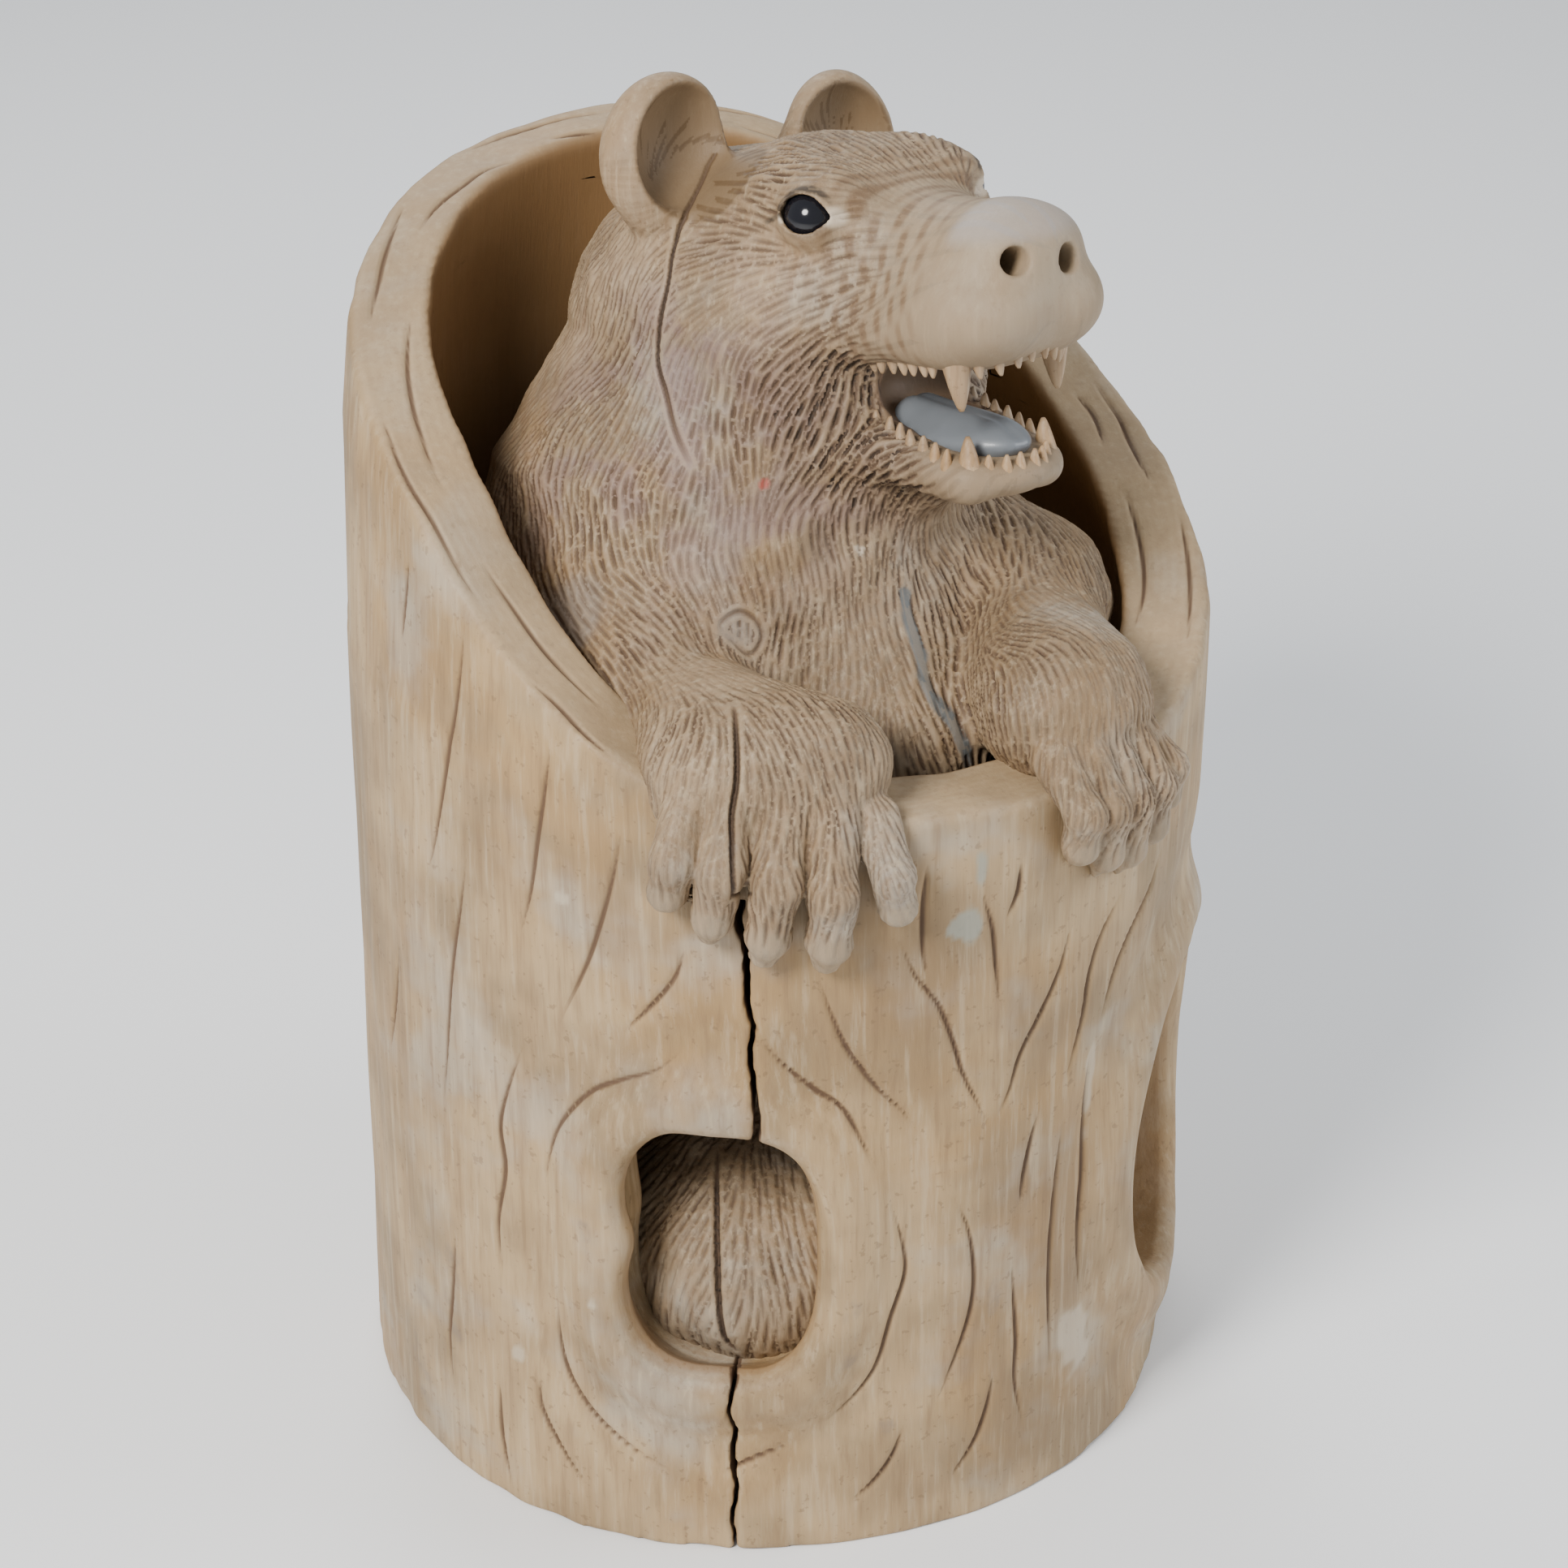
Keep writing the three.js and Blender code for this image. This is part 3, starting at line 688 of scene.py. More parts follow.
# Which way the gouge ran: place and direction, first those on the head in head coordinates, for both sides
HEAD_FLOW = [
    ((72, 6, 28), (-1, 0.02, 0.1)), ((48, 8, 38), (-0.85, 0.25, 0.4)),
    ((46, 34, 38), (-0.7, 0.45, 0.55)), ((15, 10, 46), (-1, 0.1, 0.1)), ((-20, 12, 46), (-1, 0, -0.15)),
    ((-50, 12, 25), (-0.7, 0, -0.7)), ((70, 32, 10), (-0.95, 0.2, 0.1)),
    ((36, 44, 22), (-0.9, 0.3, 0.3)), ((54, 42, 2), (-0.9, 0.3, -0.25)),
    ((70, 34, -16), (-0.85, 0.2, -0.4)), ((34, 54, -10), (-0.8, 0.2, -0.55)),
    ((10, 60, 0), (-0.75, 0.1, -0.6)), ((48, 42, -36), (-0.65, 0.3, -0.7)),
    ((24, 62, -40), (-0.45, 0.1, -0.9)), ((0, 62, -45), (-0.35, 0, -0.95)),
    ((-30, 56, -20), (-0.35, 0, -0.9)), ((66, 34, -62), (-0.7, 0.2, -0.6)),
    ((44, 38, -78), (-0.4, 0.3, -0.9)), ((20, 50, -84), (-0.2, 0.1, -1)),
    ((80, 12, -88), (-0.9, 0.1, -0.4)), ((48, 10, -100), (-0.6, 0.1, -0.8)),
    ((20, 44, 46), (-0.8, 0.5, 0.3)),
]
BODY_FLOW = [
    ((-80, 20, 430), (-0.1, 0, -1)), ((80, 20, 430), (0.1, 0, -1)), ((0, 120, 430), (0, 0.1, -1)),
    ((-40, -50, 430), (0.12, 0, -1)), ((40, -60, 430), (-0.05, 0, -1)), ((0, -75, 400), (0.05, 0, -1)),
    ((-60, -50, 400), (-0.1, -0.3, -1)), ((0, -95, 360), (0, 0, -1)), ((0, -100, 320), (0, 0, -1)),
    ((-95, 0, 385), (-0.25, -0.75, -0.75)), ((-100, -30, 365), (0, -1, -0.4)),
    ((-85, -60, 375), (0.1, -1, -0.15)), ((-60, -60, 380), (0.1, -1, -0.3)),
    ((-80, -105, 380), (0.1, -1, -0.1)), ((-55, -110, 385), (0.1, -1, -0.1)),
    ((90, 0, 380), (0.25, -0.75, -0.75)), ((105, -30, 360), (0.1, -1, -0.4)),
    ((60, -60, 370), (-0.1, -1, -0.4)), ((95, -80, 365), (0, -1, -0.3)),
    ((50, -120, 372), (0.1, -1, -0.2)), ((-100, 90, 300), (0, 0, -1)), ((100, 90, 300), (0, 0, -1)),
    ((0, -90, 250), (0, 0, -1)), ((-60, -100, 150), (-0.1, 0, -1)), ((-85, -90, 100), (-0.25, 0.2, -1)),
    ((-35, -115, 100), (0.15, 0, -1)), ((60, -100, 150), (0.1, 0, -1)),
    ((95, -80, 100), (0.25, 0.2, -1)), ((35, -110, 100), (-0.1, 0, -1)),
]


def flow_guides():
    """All guides in the bear's own frame. A paw's run from the wrist over the hump and down each digit."""
    places, ways = [], []
    for (f, left, u), (df, dl, du) in HEAD_FLOW:
        for side in (-1, 1):
            places.append(from_head((f, left * side, u)))
            ways.append(np.array([df, dl * side, du], "f4") @ HEAD_AXES.T)
    for place, way in BODY_FLOW:
        places.append(np.array(place, "f4"))
        ways.append(np.array(way, "f4"))
    for paw in PAWS:
        for knuckle, tip, _ in paw["digits"]:
            hump = polar(168, mix(paw["wrist"][1], knuckle[0], 0.7), knuckle[1] + 26)
            over = polar(184, knuckle[0], knuckle[1])
            low = polar(188, mix(knuckle[0], tip[0], 0.5), mix(knuckle[1], tip[1], 0.5))
            end = polar(180, tip[0], tip[1])
            for start, stop in ((hump, over), (over, low), (low, end)):
                places.append(mix(start, stop, 0.3))
                ways.append(stop - start)
    ways = np.array(ways)
    return np.array(places), ways / length(ways)[:, None]


def flow_at(points, guides, seed=4):
    """Direction of the fur at points, before it is laid into the surface."""
    places, ways = guides
    total = np.empty_like(points)
    for start in range(0, len(points), FLOW_BATCH):
        part = points[start : start + FLOW_BATCH]
        gap2 = ((part[:, None, :] - places[None]) ** 2).sum(-1)
        weight = (gap2 + 60) ** -2
        total[start : start + FLOW_BATCH] = weight @ ways / weight.sum(1)[:, None]
    sway = np.stack([ripple(points, 26, seed + i) for i in range(3)], 1) * 0.2
    return total + sway


def lay_in(ways, normals):
    flat = ways - normals * np.einsum("ij,ij->i", ways, normals)[:, None]
    return flat / np.maximum(length(flat), 1e-6)[:, None]


def spaced_seeds(points, ways, allowed, pitch, run, draw):
    """Places for strokes: at least a pitch apart across the flow and a run apart along it."""
    cell = run
    order = draw.permutation(np.flatnonzero(allowed))
    taken = {}
    chosen = []
    coords = points.tolist()
    dirs = ways.tolist()
    keys = np.floor(points / cell).astype(int).tolist()
    near = [(i, j, k) for i in (-1, 0, 1) for j in (-1, 0, 1) for k in (-1, 0, 1)]
    for n in order.tolist():
        x, y, z = coords[n]
        dx, dy, dz = dirs[n]
        kx, ky, kz = keys[n]
        free = True
        for i, j, k in near:
            for qx, qy, qz in taken.get((kx + i, ky + j, kz + k), ()):
                ax, ay, az = qx - x, qy - y, qz - z
                along = ax * dx + ay * dy + az * dz
                gap2 = ax * ax + ay * ay + az * az
                if along * along / (run * run) + max(gap2 - along * along, 0) / (pitch * pitch) < 1:
                    free = False
                    break
            if not free:
                break
        if free:
            taken.setdefault((kx, ky, kz), []).append((x, y, z))
            chosen.append(n)
    return np.array(chosen)


def onto(form, at):
    """Places moved on to the form's surface, and the normals there."""
    d = form(at)
    slope = np.stack([form(at + np.eye(3, dtype="f4")[i] * 0.6) - d for i in range(3)], 1)
    normal = slope / np.maximum(length(slope), 1e-6)[:, None]
    return (at - normal * d[:, None]).astype("f4"), normal


def draw_strokes(form, points, normals, amount, guides, pitch, reach, draw):
    """Curved gouge strokes on the surface: places of their points (strokes, steps, 3) and their depths."""
    ways = lay_in(flow_at(points, guides), normals)
    run = reach * 0.52
    tried = draw.random(len(points)) < min(1, 20 / (pitch * run))
    seeds = spaced_seeds(points, ways, (amount > 0.12) & tried, pitch, run, draw)
    steps = 7
    start = points[seeds]
    hop = (reach * draw.uniform(0.6, 1.2, len(seeds)) / (steps - 1))[:, None]
    sides = []
    for sign in (-1, 1):
        at = start.copy()
        normal = normals[seeds]
        line = []
        for _ in range(steps // 2):
            way = lay_in(flow_at(at, guides), normal)
            at, normal = onto(form, (at + way * hop * sign).astype("f4"))
            line.append(at)
        sides.append(line)
    lines = np.stack(sides[0][::-1] + [start] + sides[1], 1)
    strong = np.clip(0.8 + 0.4 * ripple(start, 38, 77), 0.3, 1.25)
    return lines, amount[seeds] * strong * draw.uniform(0.65, 1.15, len(seeds))


def beside_strokes(points, quads, normals, lines, depths):
    """For each corner of each quad: millimetres beside the stroke nearest to the quad, the share of the
    stroke's length up to there, and its depth."""
    count, steps, _ = lines.shape
    tree = KDTree(count * steps)
    for i, at in enumerate(lines.reshape(-1, 3).tolist()):
        tree.insert(at, i)
    tree.balance()
    find = tree.find
    corners = points[quads]
    middles = corners.mean(1)
    nearest = np.fromiter((find(p)[1] for p in middles.tolist()), "i4", len(middles))
    stroke, place = nearest // steps, nearest % steps
    best = np.full(len(middles), 1e9)
    segment = np.zeros(len(middles), "i4")
    for shift in (-1, 0):
        a = np.clip(place + shift, 0, steps - 2)
        along = lines[stroke, a + 1] - lines[stroke, a]
        off = middles - lines[stroke, a]
        length2 = np.maximum(np.einsum("ij,ij->i", along, along), 1e-6)
        t = np.clip(np.einsum("ij,ij->i", off, along) / length2, 0, 1)
        gap = length(off - t[:, None] * along)
        segment = np.where(gap < best, a, segment)
        best = np.minimum(best, gap)
    start = lines[stroke, segment]
    along = lines[stroke, segment + 1] - start
    size = np.maximum(length(along), 1e-3)[:, None]
    facing = normals[quads].mean(1)
    across = np.cross(facing, along / size)
    across /= np.maximum(length(across), 1e-6)[:, None]
    off = corners - start[:, None]
    found = np.empty((len(quads), 4, 3), "f4")
    found[..., 0] = np.einsum("ijk,ik->ij", off, across)
    found[..., 1] = (segment[:, None] + np.einsum("ijk,ik->ij", off, along / size) / size) / (steps - 1)
    found[..., 2] = depths[stroke][:, None]
    return found


def pressed(grain, quads, count, width):
    """How deep the strokes press each vertex, from 0 to about 1."""
    share = np.clip(4 * grain[..., 1] * (1 - grain[..., 1]), 0, 1) ** 0.6
    deep = np.clip(1 - np.abs(grain[..., 0]) / width, 0, 1) * share * grain[..., 2]
    total = np.bincount(quads.ravel(), deep.ravel(), count)
    return total / np.maximum(np.bincount(quads.ravel(), minlength=count), 1)


def near_line(points, line):
    """Distance of points from a polyline."""
    line = np.array(line, "f4")
    best = np.full(len(points), 1e9, "f4")
    for a, b in zip(line[:-1], line[1:]):
        along = b - a
        t = np.clip((points - a) @ along / float(along @ along), 0, 1)
        best = np.minimum(best, length(points - a - t[:, None] * along))
    return best


def head_marks(q):
    """Masks on the head, in head coordinates, from 0 to 1: fur, muzzle, nose with a painted sheen on its top,
    mouth and ear cups with painted shade, eyes with painted shade in the creases round them, and painted
    shade under the jaw.
    """
    f, _, u = q.T
    near = smooth_step(34, 16, np.minimum(upper_head(q), lower_jaw(q)))
    muzzle = smooth_step(60, 88, f + 0.25 * np.maximum(u, 0) - 0.6 * np.maximum(-u - 50, 0)) * near
    # Inside of the mouth, which the fur material darkens as painted shade
    in_mouth = smooth_step(3.0, -1.5, mouth_hollow(q) - 1.5) * near
    fur = (1 - muzzle) * (1 - in_mouth)
    # Ear cups, which the fur material darkens as painted shade in their hollows
    cups = np.zeros(len(q), "f4")
    for ear in EARS:
        gap = ear_cup(ear)(q)
        cups = np.maximum(cups, smooth_step(2.5, 0.5, gap))
        behind = smooth_step(4, 10, ear_shell(ear)(q) + 6 * smooth_step(60, 40, u))
        fur = fur * smooth_step(0, 5, gap) * behind
    # Top of the nose pad, where the fur material paints a pale sheen over its grey
    nose = smooth_step(4.5, 1.0, np.abs(nose_pad(q))) * smooth_step(106, 116, f) * smooth_step(9, 16, u)
    lids = np.zeros(len(q), "f4")
    pale = np.zeros(len(q), "f4")
    lash = np.zeros(len(q), "f4")
    for i in (-1, 1):
        local = (q - eye_middle(i)) @ eye_axes(i)
        out, along, up = local.T
        lids = np.maximum(lids, smooth_step(17, 13, length(local)))
        inner = length((local - np.array([6.5, 11.5, -0.5])) / np.array([1.3, 1.2, 0.8]))
        outer_white = length((local - np.array([8, -8.5, -0.5])) / np.array([1, 0.8, 1]))
        pale = np.maximum(pale, np.maximum(smooth_step(6, 3, inner), smooth_step(3.2, 2, outer_white)))
        # Lines along the lid crease, the outer corner and under the eye, darkened as painted shade in the
        # creases
        brow = np.abs(up - 9.6 + 0.05 * along ** 2 - 0.12 * along)
        crease = smooth_step(1.9, 0.8, brow) * smooth_step(13.5, 9, np.abs(along + 1))
        slant = np.abs(up + 0.6 - 0.25 * (along + 12))
        corner = smooth_step(1.6, 0.6, slant) * smooth_step(7, 3, np.abs(along + 14))
        bag = np.abs(up + 8 - 0.05 * along ** 2)
        under = smooth_step(1.3, 0.4, bag) * smooth_step(11, 7, np.abs(along))
        lines = np.maximum(np.maximum(crease, corner), 0.5 * under)
        lash = np.maximum(lash, lines * (out > 0) * near)
    fur = fur * (1 - lids)
    # Ruff under the jaw: deeper strokes, and painted shade under the jaw
    beard = np.exp(-((np.maximum(-u - 66, 0) - 8) / 22) ** 2)
    beard = beard * smooth_step(5, 30, f) * near * smooth_step(0, -40, u)
    bands = np.sin(f * 0.62 + u * 0.3 + 1.4 * np.sin(u * 0.07)) + np.sin(f * 0.95 - u * 0.12 + 2)
    snout = smooth_step(40, 70, f) * smooth_step(112, 96, f) * smooth_step(-50, -34, u)
    stripe = smooth_step(-0.5, 1.4, bands) * near * snout * (1 - in_mouth)
    return {
        "fur": fur, "smooth": muzzle, "mouth": in_mouth, "cup": cups, "nose": nose,
        "pale": pale * (lids > 0), "stripe": stripe, "beard": beard, "lash": lash,
    }


def on_skin(form, line):
    """A smooth line through places near the form, laid on its surface."""
    line = curved(line, 4).astype("f4")
    for _ in range(3):
        line, _ = onto(form, line)
    return line


def relief(form, points, quads, fur, settings, seed, scale, lines_too=()):
    """Points pressed in along the gouge strokes and the lines, how deep each went, and the strokes beside
    each corner. lines_too: single lines on the surface, each with its depth."""
    draw = np.random.default_rng(seed)
    normals = normals_of(points, quads)
    guides = flow_guides()
    pitch = settings.stroke_pitch / MM * scale
    reach = settings.stroke_length / MM * scale
    depth = settings.stroke_depth / MM * scale
    grain = beside_strokes(points, quads, normals,
                           *draw_strokes(form, points, normals, fur, guides, pitch, reach, draw))
    middles = points[quads].mean(1)
    for line, deep in lines_too:
        line = on_skin(form, line)
        near = near_line(middles, line) < 3
        if near.any():
            grain[near] = beside_strokes(points, quads[near], normals, line[None], np.array([deep]))
    cut = pressed(grain, quads, len(points), 1.5)
    lift = 0.35 * fur * ripple(points, 9, seed + 9)
    return points + normals * (lift * depth - cut * depth)[:, None], cut, grain


# Materials

def new_material(name):
    """A new material, a function that links or sets a node's input, and one that adds a node."""
    material = bpy.data.materials.new(name)
    material.use_nodes = True
    tree = material.node_tree

    def put(made, key, value):
        if isinstance(value, bpy.types.NodeSocket):
            tree.links.new(value, made.inputs[key])
        else:
            made.inputs[key].default_value = value

    def node(kind, inputs=None, **options):
        made = tree.nodes.new(kind)
        for key, value in options.items():
            setattr(made, key, value)
        for key, value in (inputs or {}).items():
            put(made, key, value)
        return made

    return material, put, node


def tinted(colour, *factors):
    """A colour with its channels multiplied, as four numbers for a socket."""
    return (*(min(c * factor, 1) for c, factor in zip(colour, factors * (3 // len(factors)))), 1)


def wood_material(name, colour, dark, fine=1.0, roughness=0.62, tints=(), fur=False):
    """Bare carved wood: growth rings round the log's axis, long fibres, blotches, and tool cuts darkened with
    painted shade and dirt.
    tints: (mark, colour, strength) of vertex marks that change the colour; some of them are painted shade or
    a painted sheen. fur: strokes of the grain mark, with painted highlight on the crests between them."""
    material, put, node = new_material(name)
    shader = material.node_tree.nodes["Principled BSDF"]

    def maths(operation, *values, clamp=False):
        made = node("ShaderNodeMath", dict(enumerate(values)), operation=operation, use_clamp=clamp)
        return made.outputs[0]

    def over(base, amount, tint):
        """The tint laid over the base by that amount."""
        return node("ShaderNodeMix", {0: amount, 6: base, 7: tint}, data_type="RGBA").outputs[2]

    def mark(word):
        return node("ShaderNodeAttribute", attribute_name=word).outputs["Fac"]

    def noise(vector, scale, detail=3.0, rough=0.55, distortion=0.0):
        made = node("ShaderNodeTexNoise", {"Vector": vector, "Scale": scale, "Detail": detail,
                                           "Roughness": rough, "Distortion": distortion})
        return made.outputs["Fac"]

    def ramp(value, low, high):
        made = node("ShaderNodeMapRange", {0: value, 1: low, 2: high}, interpolation_type="SMOOTHSTEP")
        return made.outputs[0]

    where = node("ShaderNodeTexCoord").outputs["Object"]
    fibres = node("ShaderNodeMapping", {"Vector": where, "Scale": (1.0, 1.0, 0.07)}).outputs[0]
    flat = node("ShaderNodeMapping", {"Vector": where, "Scale": (1.0, 1.0, 0.12)}).outputs[0]
    axis_gap = node("ShaderNodeVectorMath", {0: flat}, operation="LENGTH").outputs["Value"]
    wander = maths("MULTIPLY", noise(fibres, 14, 2), 26.0)
    rings = maths("SINE", maths("MULTIPLY_ADD", axis_gap, 1750.0, wander))
    long_fibres = noise(fibres, 330 * fine, 4, 0.65)
    pores = noise(fibres, 1100 * fine, 2)
    deep = mark("cut")

    base = over(tinted(colour, 1.12), ramp(noise(where, 17, 3), 0.35, 0.65), tinted(colour, 0.68))
    # Field, where it begins and is full, strength, colour
    for field, begins, full, strength, tint in (
        (noise(where, 8, 4, 0.6, 0.8), 0.48, 0.66, 0.5, tinted(colour, 0.95, 0.78, 0.52)),
        (noise(where, 6.5, 4, 0.6, 0.6), 0.5, 0.72, 0.45, (0.2, 0.13, 0.07, 1)),
        (noise(where, 13, 4, 0.6), 0.52, 0.68, 0.5, (0.4, 0.36, 0.3, 1)),
        (rings, -1.0, 1.0, 0.2, (0.24, 0.14, 0.06, 1)),
        (long_fibres, 0.5, 0.7, 0.42, (0.2, 0.12, 0.06, 1)),
        (long_fibres, 0.5, 0.3, 0.3, (0.56, 0.45, 0.3, 1)),
        (noise(where, 330 * fine, 2, 0.6), 0.62, 0.7, 0.4, (0.15, 0.09, 0.045, 1)),
    ):
        base = over(base, maths("MULTIPLY", ramp(field, begins, full), strength), tint)
    for word, tint, strength in tints:
        amount = mark(word)
        if word == "stain":
            amount = maths("MULTIPLY", amount, ramp(noise(where, 38, 4, 0.65), 0.4, 0.6))
        base = over(base, maths("MULTIPLY", amount, strength), (*tint, 1))
    height = maths("MULTIPLY_ADD", long_fibres, 0.7, maths("MULTIPLY", pores, 0.3))
    # dark: colour of the painted shade and dirt laid in the cuts
    dark = (*dark, 1)
    if fur:
        place = node("ShaderNodeAttribute", attribute_name="grain").outputs["Vector"]
        aside, along, depth = node("ShaderNodeSeparateXYZ", {0: place}).outputs
        waver = maths("MULTIPLY_ADD", noise(where, 900, 1), 0.5, maths("SUBTRACT", aside, 0.25))
        aside = maths("ABSOLUTE", waver)
        taper = maths("MULTIPLY", maths("MULTIPLY", along, 4.0), maths("SUBTRACT", 1.0, along))
        taper = maths("POWER", maths("MAXIMUM", taper, 0.0), 0.6)
        strong = maths("MULTIPLY", taper, depth)
        thin = maths("DIVIDE", aside, maths("MULTIPLY_ADD", strong, 0.5, 0.25))
        line = maths("MULTIPLY", ramp(thin, 1.3, 0.2), maths("MINIMUM", strong, 1.15))
        # Painted highlight: the crests between the strokes are lightened away from each cut
        lit_ridge = maths("MULTIPLY", ramp(aside, 0.8, 1.7), 0.22)
        base = over(base, lit_ridge, tinted(colour, 1.3))
        # Painted shade and dirt along the groove of each stroke
        base = over(base, maths("MULTIPLY", line, 0.85, clamp=True), dark)
        # Painted shade, near black, deep in the cracks where the strokes are deepest
        crack = maths("MULTIPLY", ramp(strong, 1.3, 1.6), line, clamp=True)
        base = over(base, crack, (0.012, 0.008, 0.006, 1))
        # Painted shade where the cut mark says the vertex is pressed in
        base = over(base, maths("MULTIPLY", deep, 0.45, clamp=True), dark)
        groove = maths("MULTIPLY", ramp(aside, 1.5, 0.0), strong)
        height = maths("MULTIPLY_ADD", groove, -2.2, height)
    else:
        # Painted shade and dirt deep in the splits and cracks
        base = over(base, maths("MULTIPLY", ramp(deep, 0.08, 0.7), 0.92), dark)
    put(shader, "Base Color", base)
    rough = maths("MULTIPLY_ADD", long_fibres, 0.16, roughness - 0.08)
    put(shader, "Roughness", maths("MULTIPLY_ADD", deep, 0.15, rough, clamp=True))
    put(shader, "Specular IOR Level", 0.36)
    bump = node("ShaderNodeBump", {"Strength": 0.4, "Distance": 0.0007, "Height": height})
    put(shader, "Normal", bump.outputs[0])
    return material


def plain_material(name, colour, roughness, coat=0.0, bump=0.0):
    """A smooth finish with a little unevenness."""
    material, put, node = new_material(name)
    shader = material.node_tree.nodes["Principled BSDF"]
    where = node("ShaderNodeTexCoord").outputs["Object"]
    cloud = node("ShaderNodeTexNoise", {"Vector": where, "Scale": 60}).outputs["Fac"]
    tint = node("ShaderNodeMix", {0: cloud, 6: tinted(colour, 0.8), 7: tinted(colour, 1.2)}, data_type="RGBA")
    put(shader, "Base Color", tint.outputs[2])
    put(shader, "Roughness", roughness)
    put(shader, "Coat Weight", coat)
    put(shader, "Coat Roughness", 0.05)
    if bump:
        press = node("ShaderNodeBump", {"Strength": bump, "Distance": 0.0006, "Height": cloud})
        put(shader, "Normal", press.outputs[0])
    return material


def finished(found, *nodes, slot="carved_wood"):
    """Puts a piece on the frame in place of those nodes."""
    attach(found, "root")
    if nodes:
        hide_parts(*nodes)


# Settings

def colour_of(name, description, default):
    return FloatVectorProperty(name=name, description=description, subtype="COLOR", size=3, min=0, max=1,
                               default=default)


def length_of(name, description, low, high, default):
    return FloatProperty(name=name, description=description, unit="LENGTH", min=low, max=high,
                         default=default)


class TrunkSettings(bpy.types.PropertyGroup):
    """Sizes and colours of the log."""

    colour: colour_of("Wood", "Colour of the bare log", (0.38, 0.265, 0.14))
    rim_colour: colour_of("Rim", "Colour of the rim's flat band", (0.4, 0.295, 0.18))
    inside: colour_of("Hollow", "Colour of the hollow's wall", (0.24, 0.13, 0.05))
    # Colour of the painted shade and dirt in the log's splits and cracks
    cut_dirt_and_shade: colour_of("Cuts", "Colour deep in splits and cuts", (0.1, 0.055, 0.03))
    crack_width: length_of("Crack Width", "Width of the crack down the front", 0.001, 0.01, 0.0036)
    groove_depth: length_of("Groove Depth", "Depth of the splits carved in the bark side", 0, 0.006, 0.002)


class BearSettings(bpy.types.PropertyGroup):
    """Sizes and colours of the bear."""

    colour: colour_of("Fur", "Colour of the carved fur", (0.3, 0.215, 0.13))
    # Colour of the painted shade and dirt in the gouge cuts
    cut_dirt_and_shade: colour_of("Cuts", "Colour deep in the gouge cuts", (0.1, 0.06, 0.035))
    tongue_colour: colour_of("Tongue", "Colour of the painted tongue", (0.14, 0.155, 0.17))
    eye_colour: colour_of("Eyes", "Colour of the bead eyes", (0.006, 0.006, 0.009))
    eye_diameter: length_of("Eye Diameter", "Diameter of a bead eye", 0.01, 0.03, 0.0205)
    stroke_pitch: length_of("Stroke Pitch", "Distance between gouge strokes in the fur", 0.0015, 0.01, 0.0026)
    stroke_length: length_of("Stroke Length", "Length of a gouge stroke", 0.004, 0.04, 0.017)
    stroke_depth: length_of("Stroke Depth", "Depth of a gouge stroke", 0, 0.003, 0.0012)
    seed: IntProperty(name="Seed", description="Changes where each stroke falls", min=0, default=11)


class StageSettings(bpy.types.PropertyGroup):
    """Floor, light and camera."""

    floor_colour: colour_of("Floor", "Colour of the floor", (0.93, 0.94, 0.95))
    key_power: FloatProperty(name="Key Light", description="Power of the large light", unit="POWER",
                             min=0, default=84)
    fill_power: FloatProperty(name="Fill Light", description="Power of the light at the side", unit="POWER",
                              min=0, default=22)
    lens: FloatProperty(name="Lens", description="Focal length of the camera", subtype="DISTANCE_CAMERA",
                        min=20, max=200, default=95.96)


# Pieces

SKIN_STEP = 1.1
COARSE_STEP = 1.8
SEAM_LEVEL = 400
WAIST_LEVEL = 250
# The log's skin: columns in degrees, close together from SEEN_FROM to SEEN_TO, then rows and layers
SEEN_FROM = -128
SEEN_TO = 78
SEEN_STEP = 0.36
HIDDEN_STEP = 1.1
LOG_ROW = 2.2
LOG_LAYERS = (84, 194, 1.1)
LEFT_SEAM = -38
SPLIT_WIDTH = 3.4
RIM_SPLIT_WIDTH = 3.0
# Filler, pale chips and stains on the bark: mark, degrees from the front, height, half width, half height
BARK_SPOTS = [
    ("putty", 2.8, 308, 3, 6), ("putty", 1, 287, 6, 9), ("pale", 20.6, 67, 11, 17),
    ("pale", -52, 295, 3, 3), ("pale", -49, 116, 2.5, 2.5), ("pale", -61.5, 77, 4, 4),
    ("stain", -50, 148, 3, 7), ("stain", -83, 48, 8, 26), ("stain", -15, 107, 4, 20),
    ("stain", 5.5, 107, 3, 9), ("stain", -9.8, 57, 3, 3), ("stain", -67.6, 371, 1.2, 1.2),
    ("pale", 22, 190, 3, 22), ("stain", -74, 95, 5, 30),
]

FUR_MARKS = (
    "smooth", "mouth", "cup", "nose", "pale", "stripe", "beard", "filler", "red", "grey", "dark", "lash",
)
# Cracks and the drawn ring on the bear: places in its own frame, and how dark each one is
BEAR_LINES = [
    ([(-4, 30, 519), (-13, 18, 513), (-25, 7, 505), (-33, 0, 497), (-37, -6, 488), (-41, -10, 476),
      (-44, -13, 462), (-47, -23, 450), (-49, -33, 440), (-48, -42, 431)], 1.7),
    ([(-74, -137, 382), (-75, -141, 379), (-79, -151, 371), (-82, -157, 361), (-86, -161, 350),
      (-88, -167, 340), (-90, -172, 329), (-88, -172, 316), (-86, -172, 300)], 2.0),
    ([(-64, -86, 151), (-73, -105, 141), (-79, -118, 128), (-82, -126, 110), (-82, -129, 92),
      (-81, -135, 80)], 2.4),
    ([(-53, -72, 373), (-50, -73, 379), (-44, -76, 383), (-39, -80, 380), (-38, -83, 374), (-42, -84, 369),
      (-48, -81, 368), (-52, -76, 371)], 0.9),
]
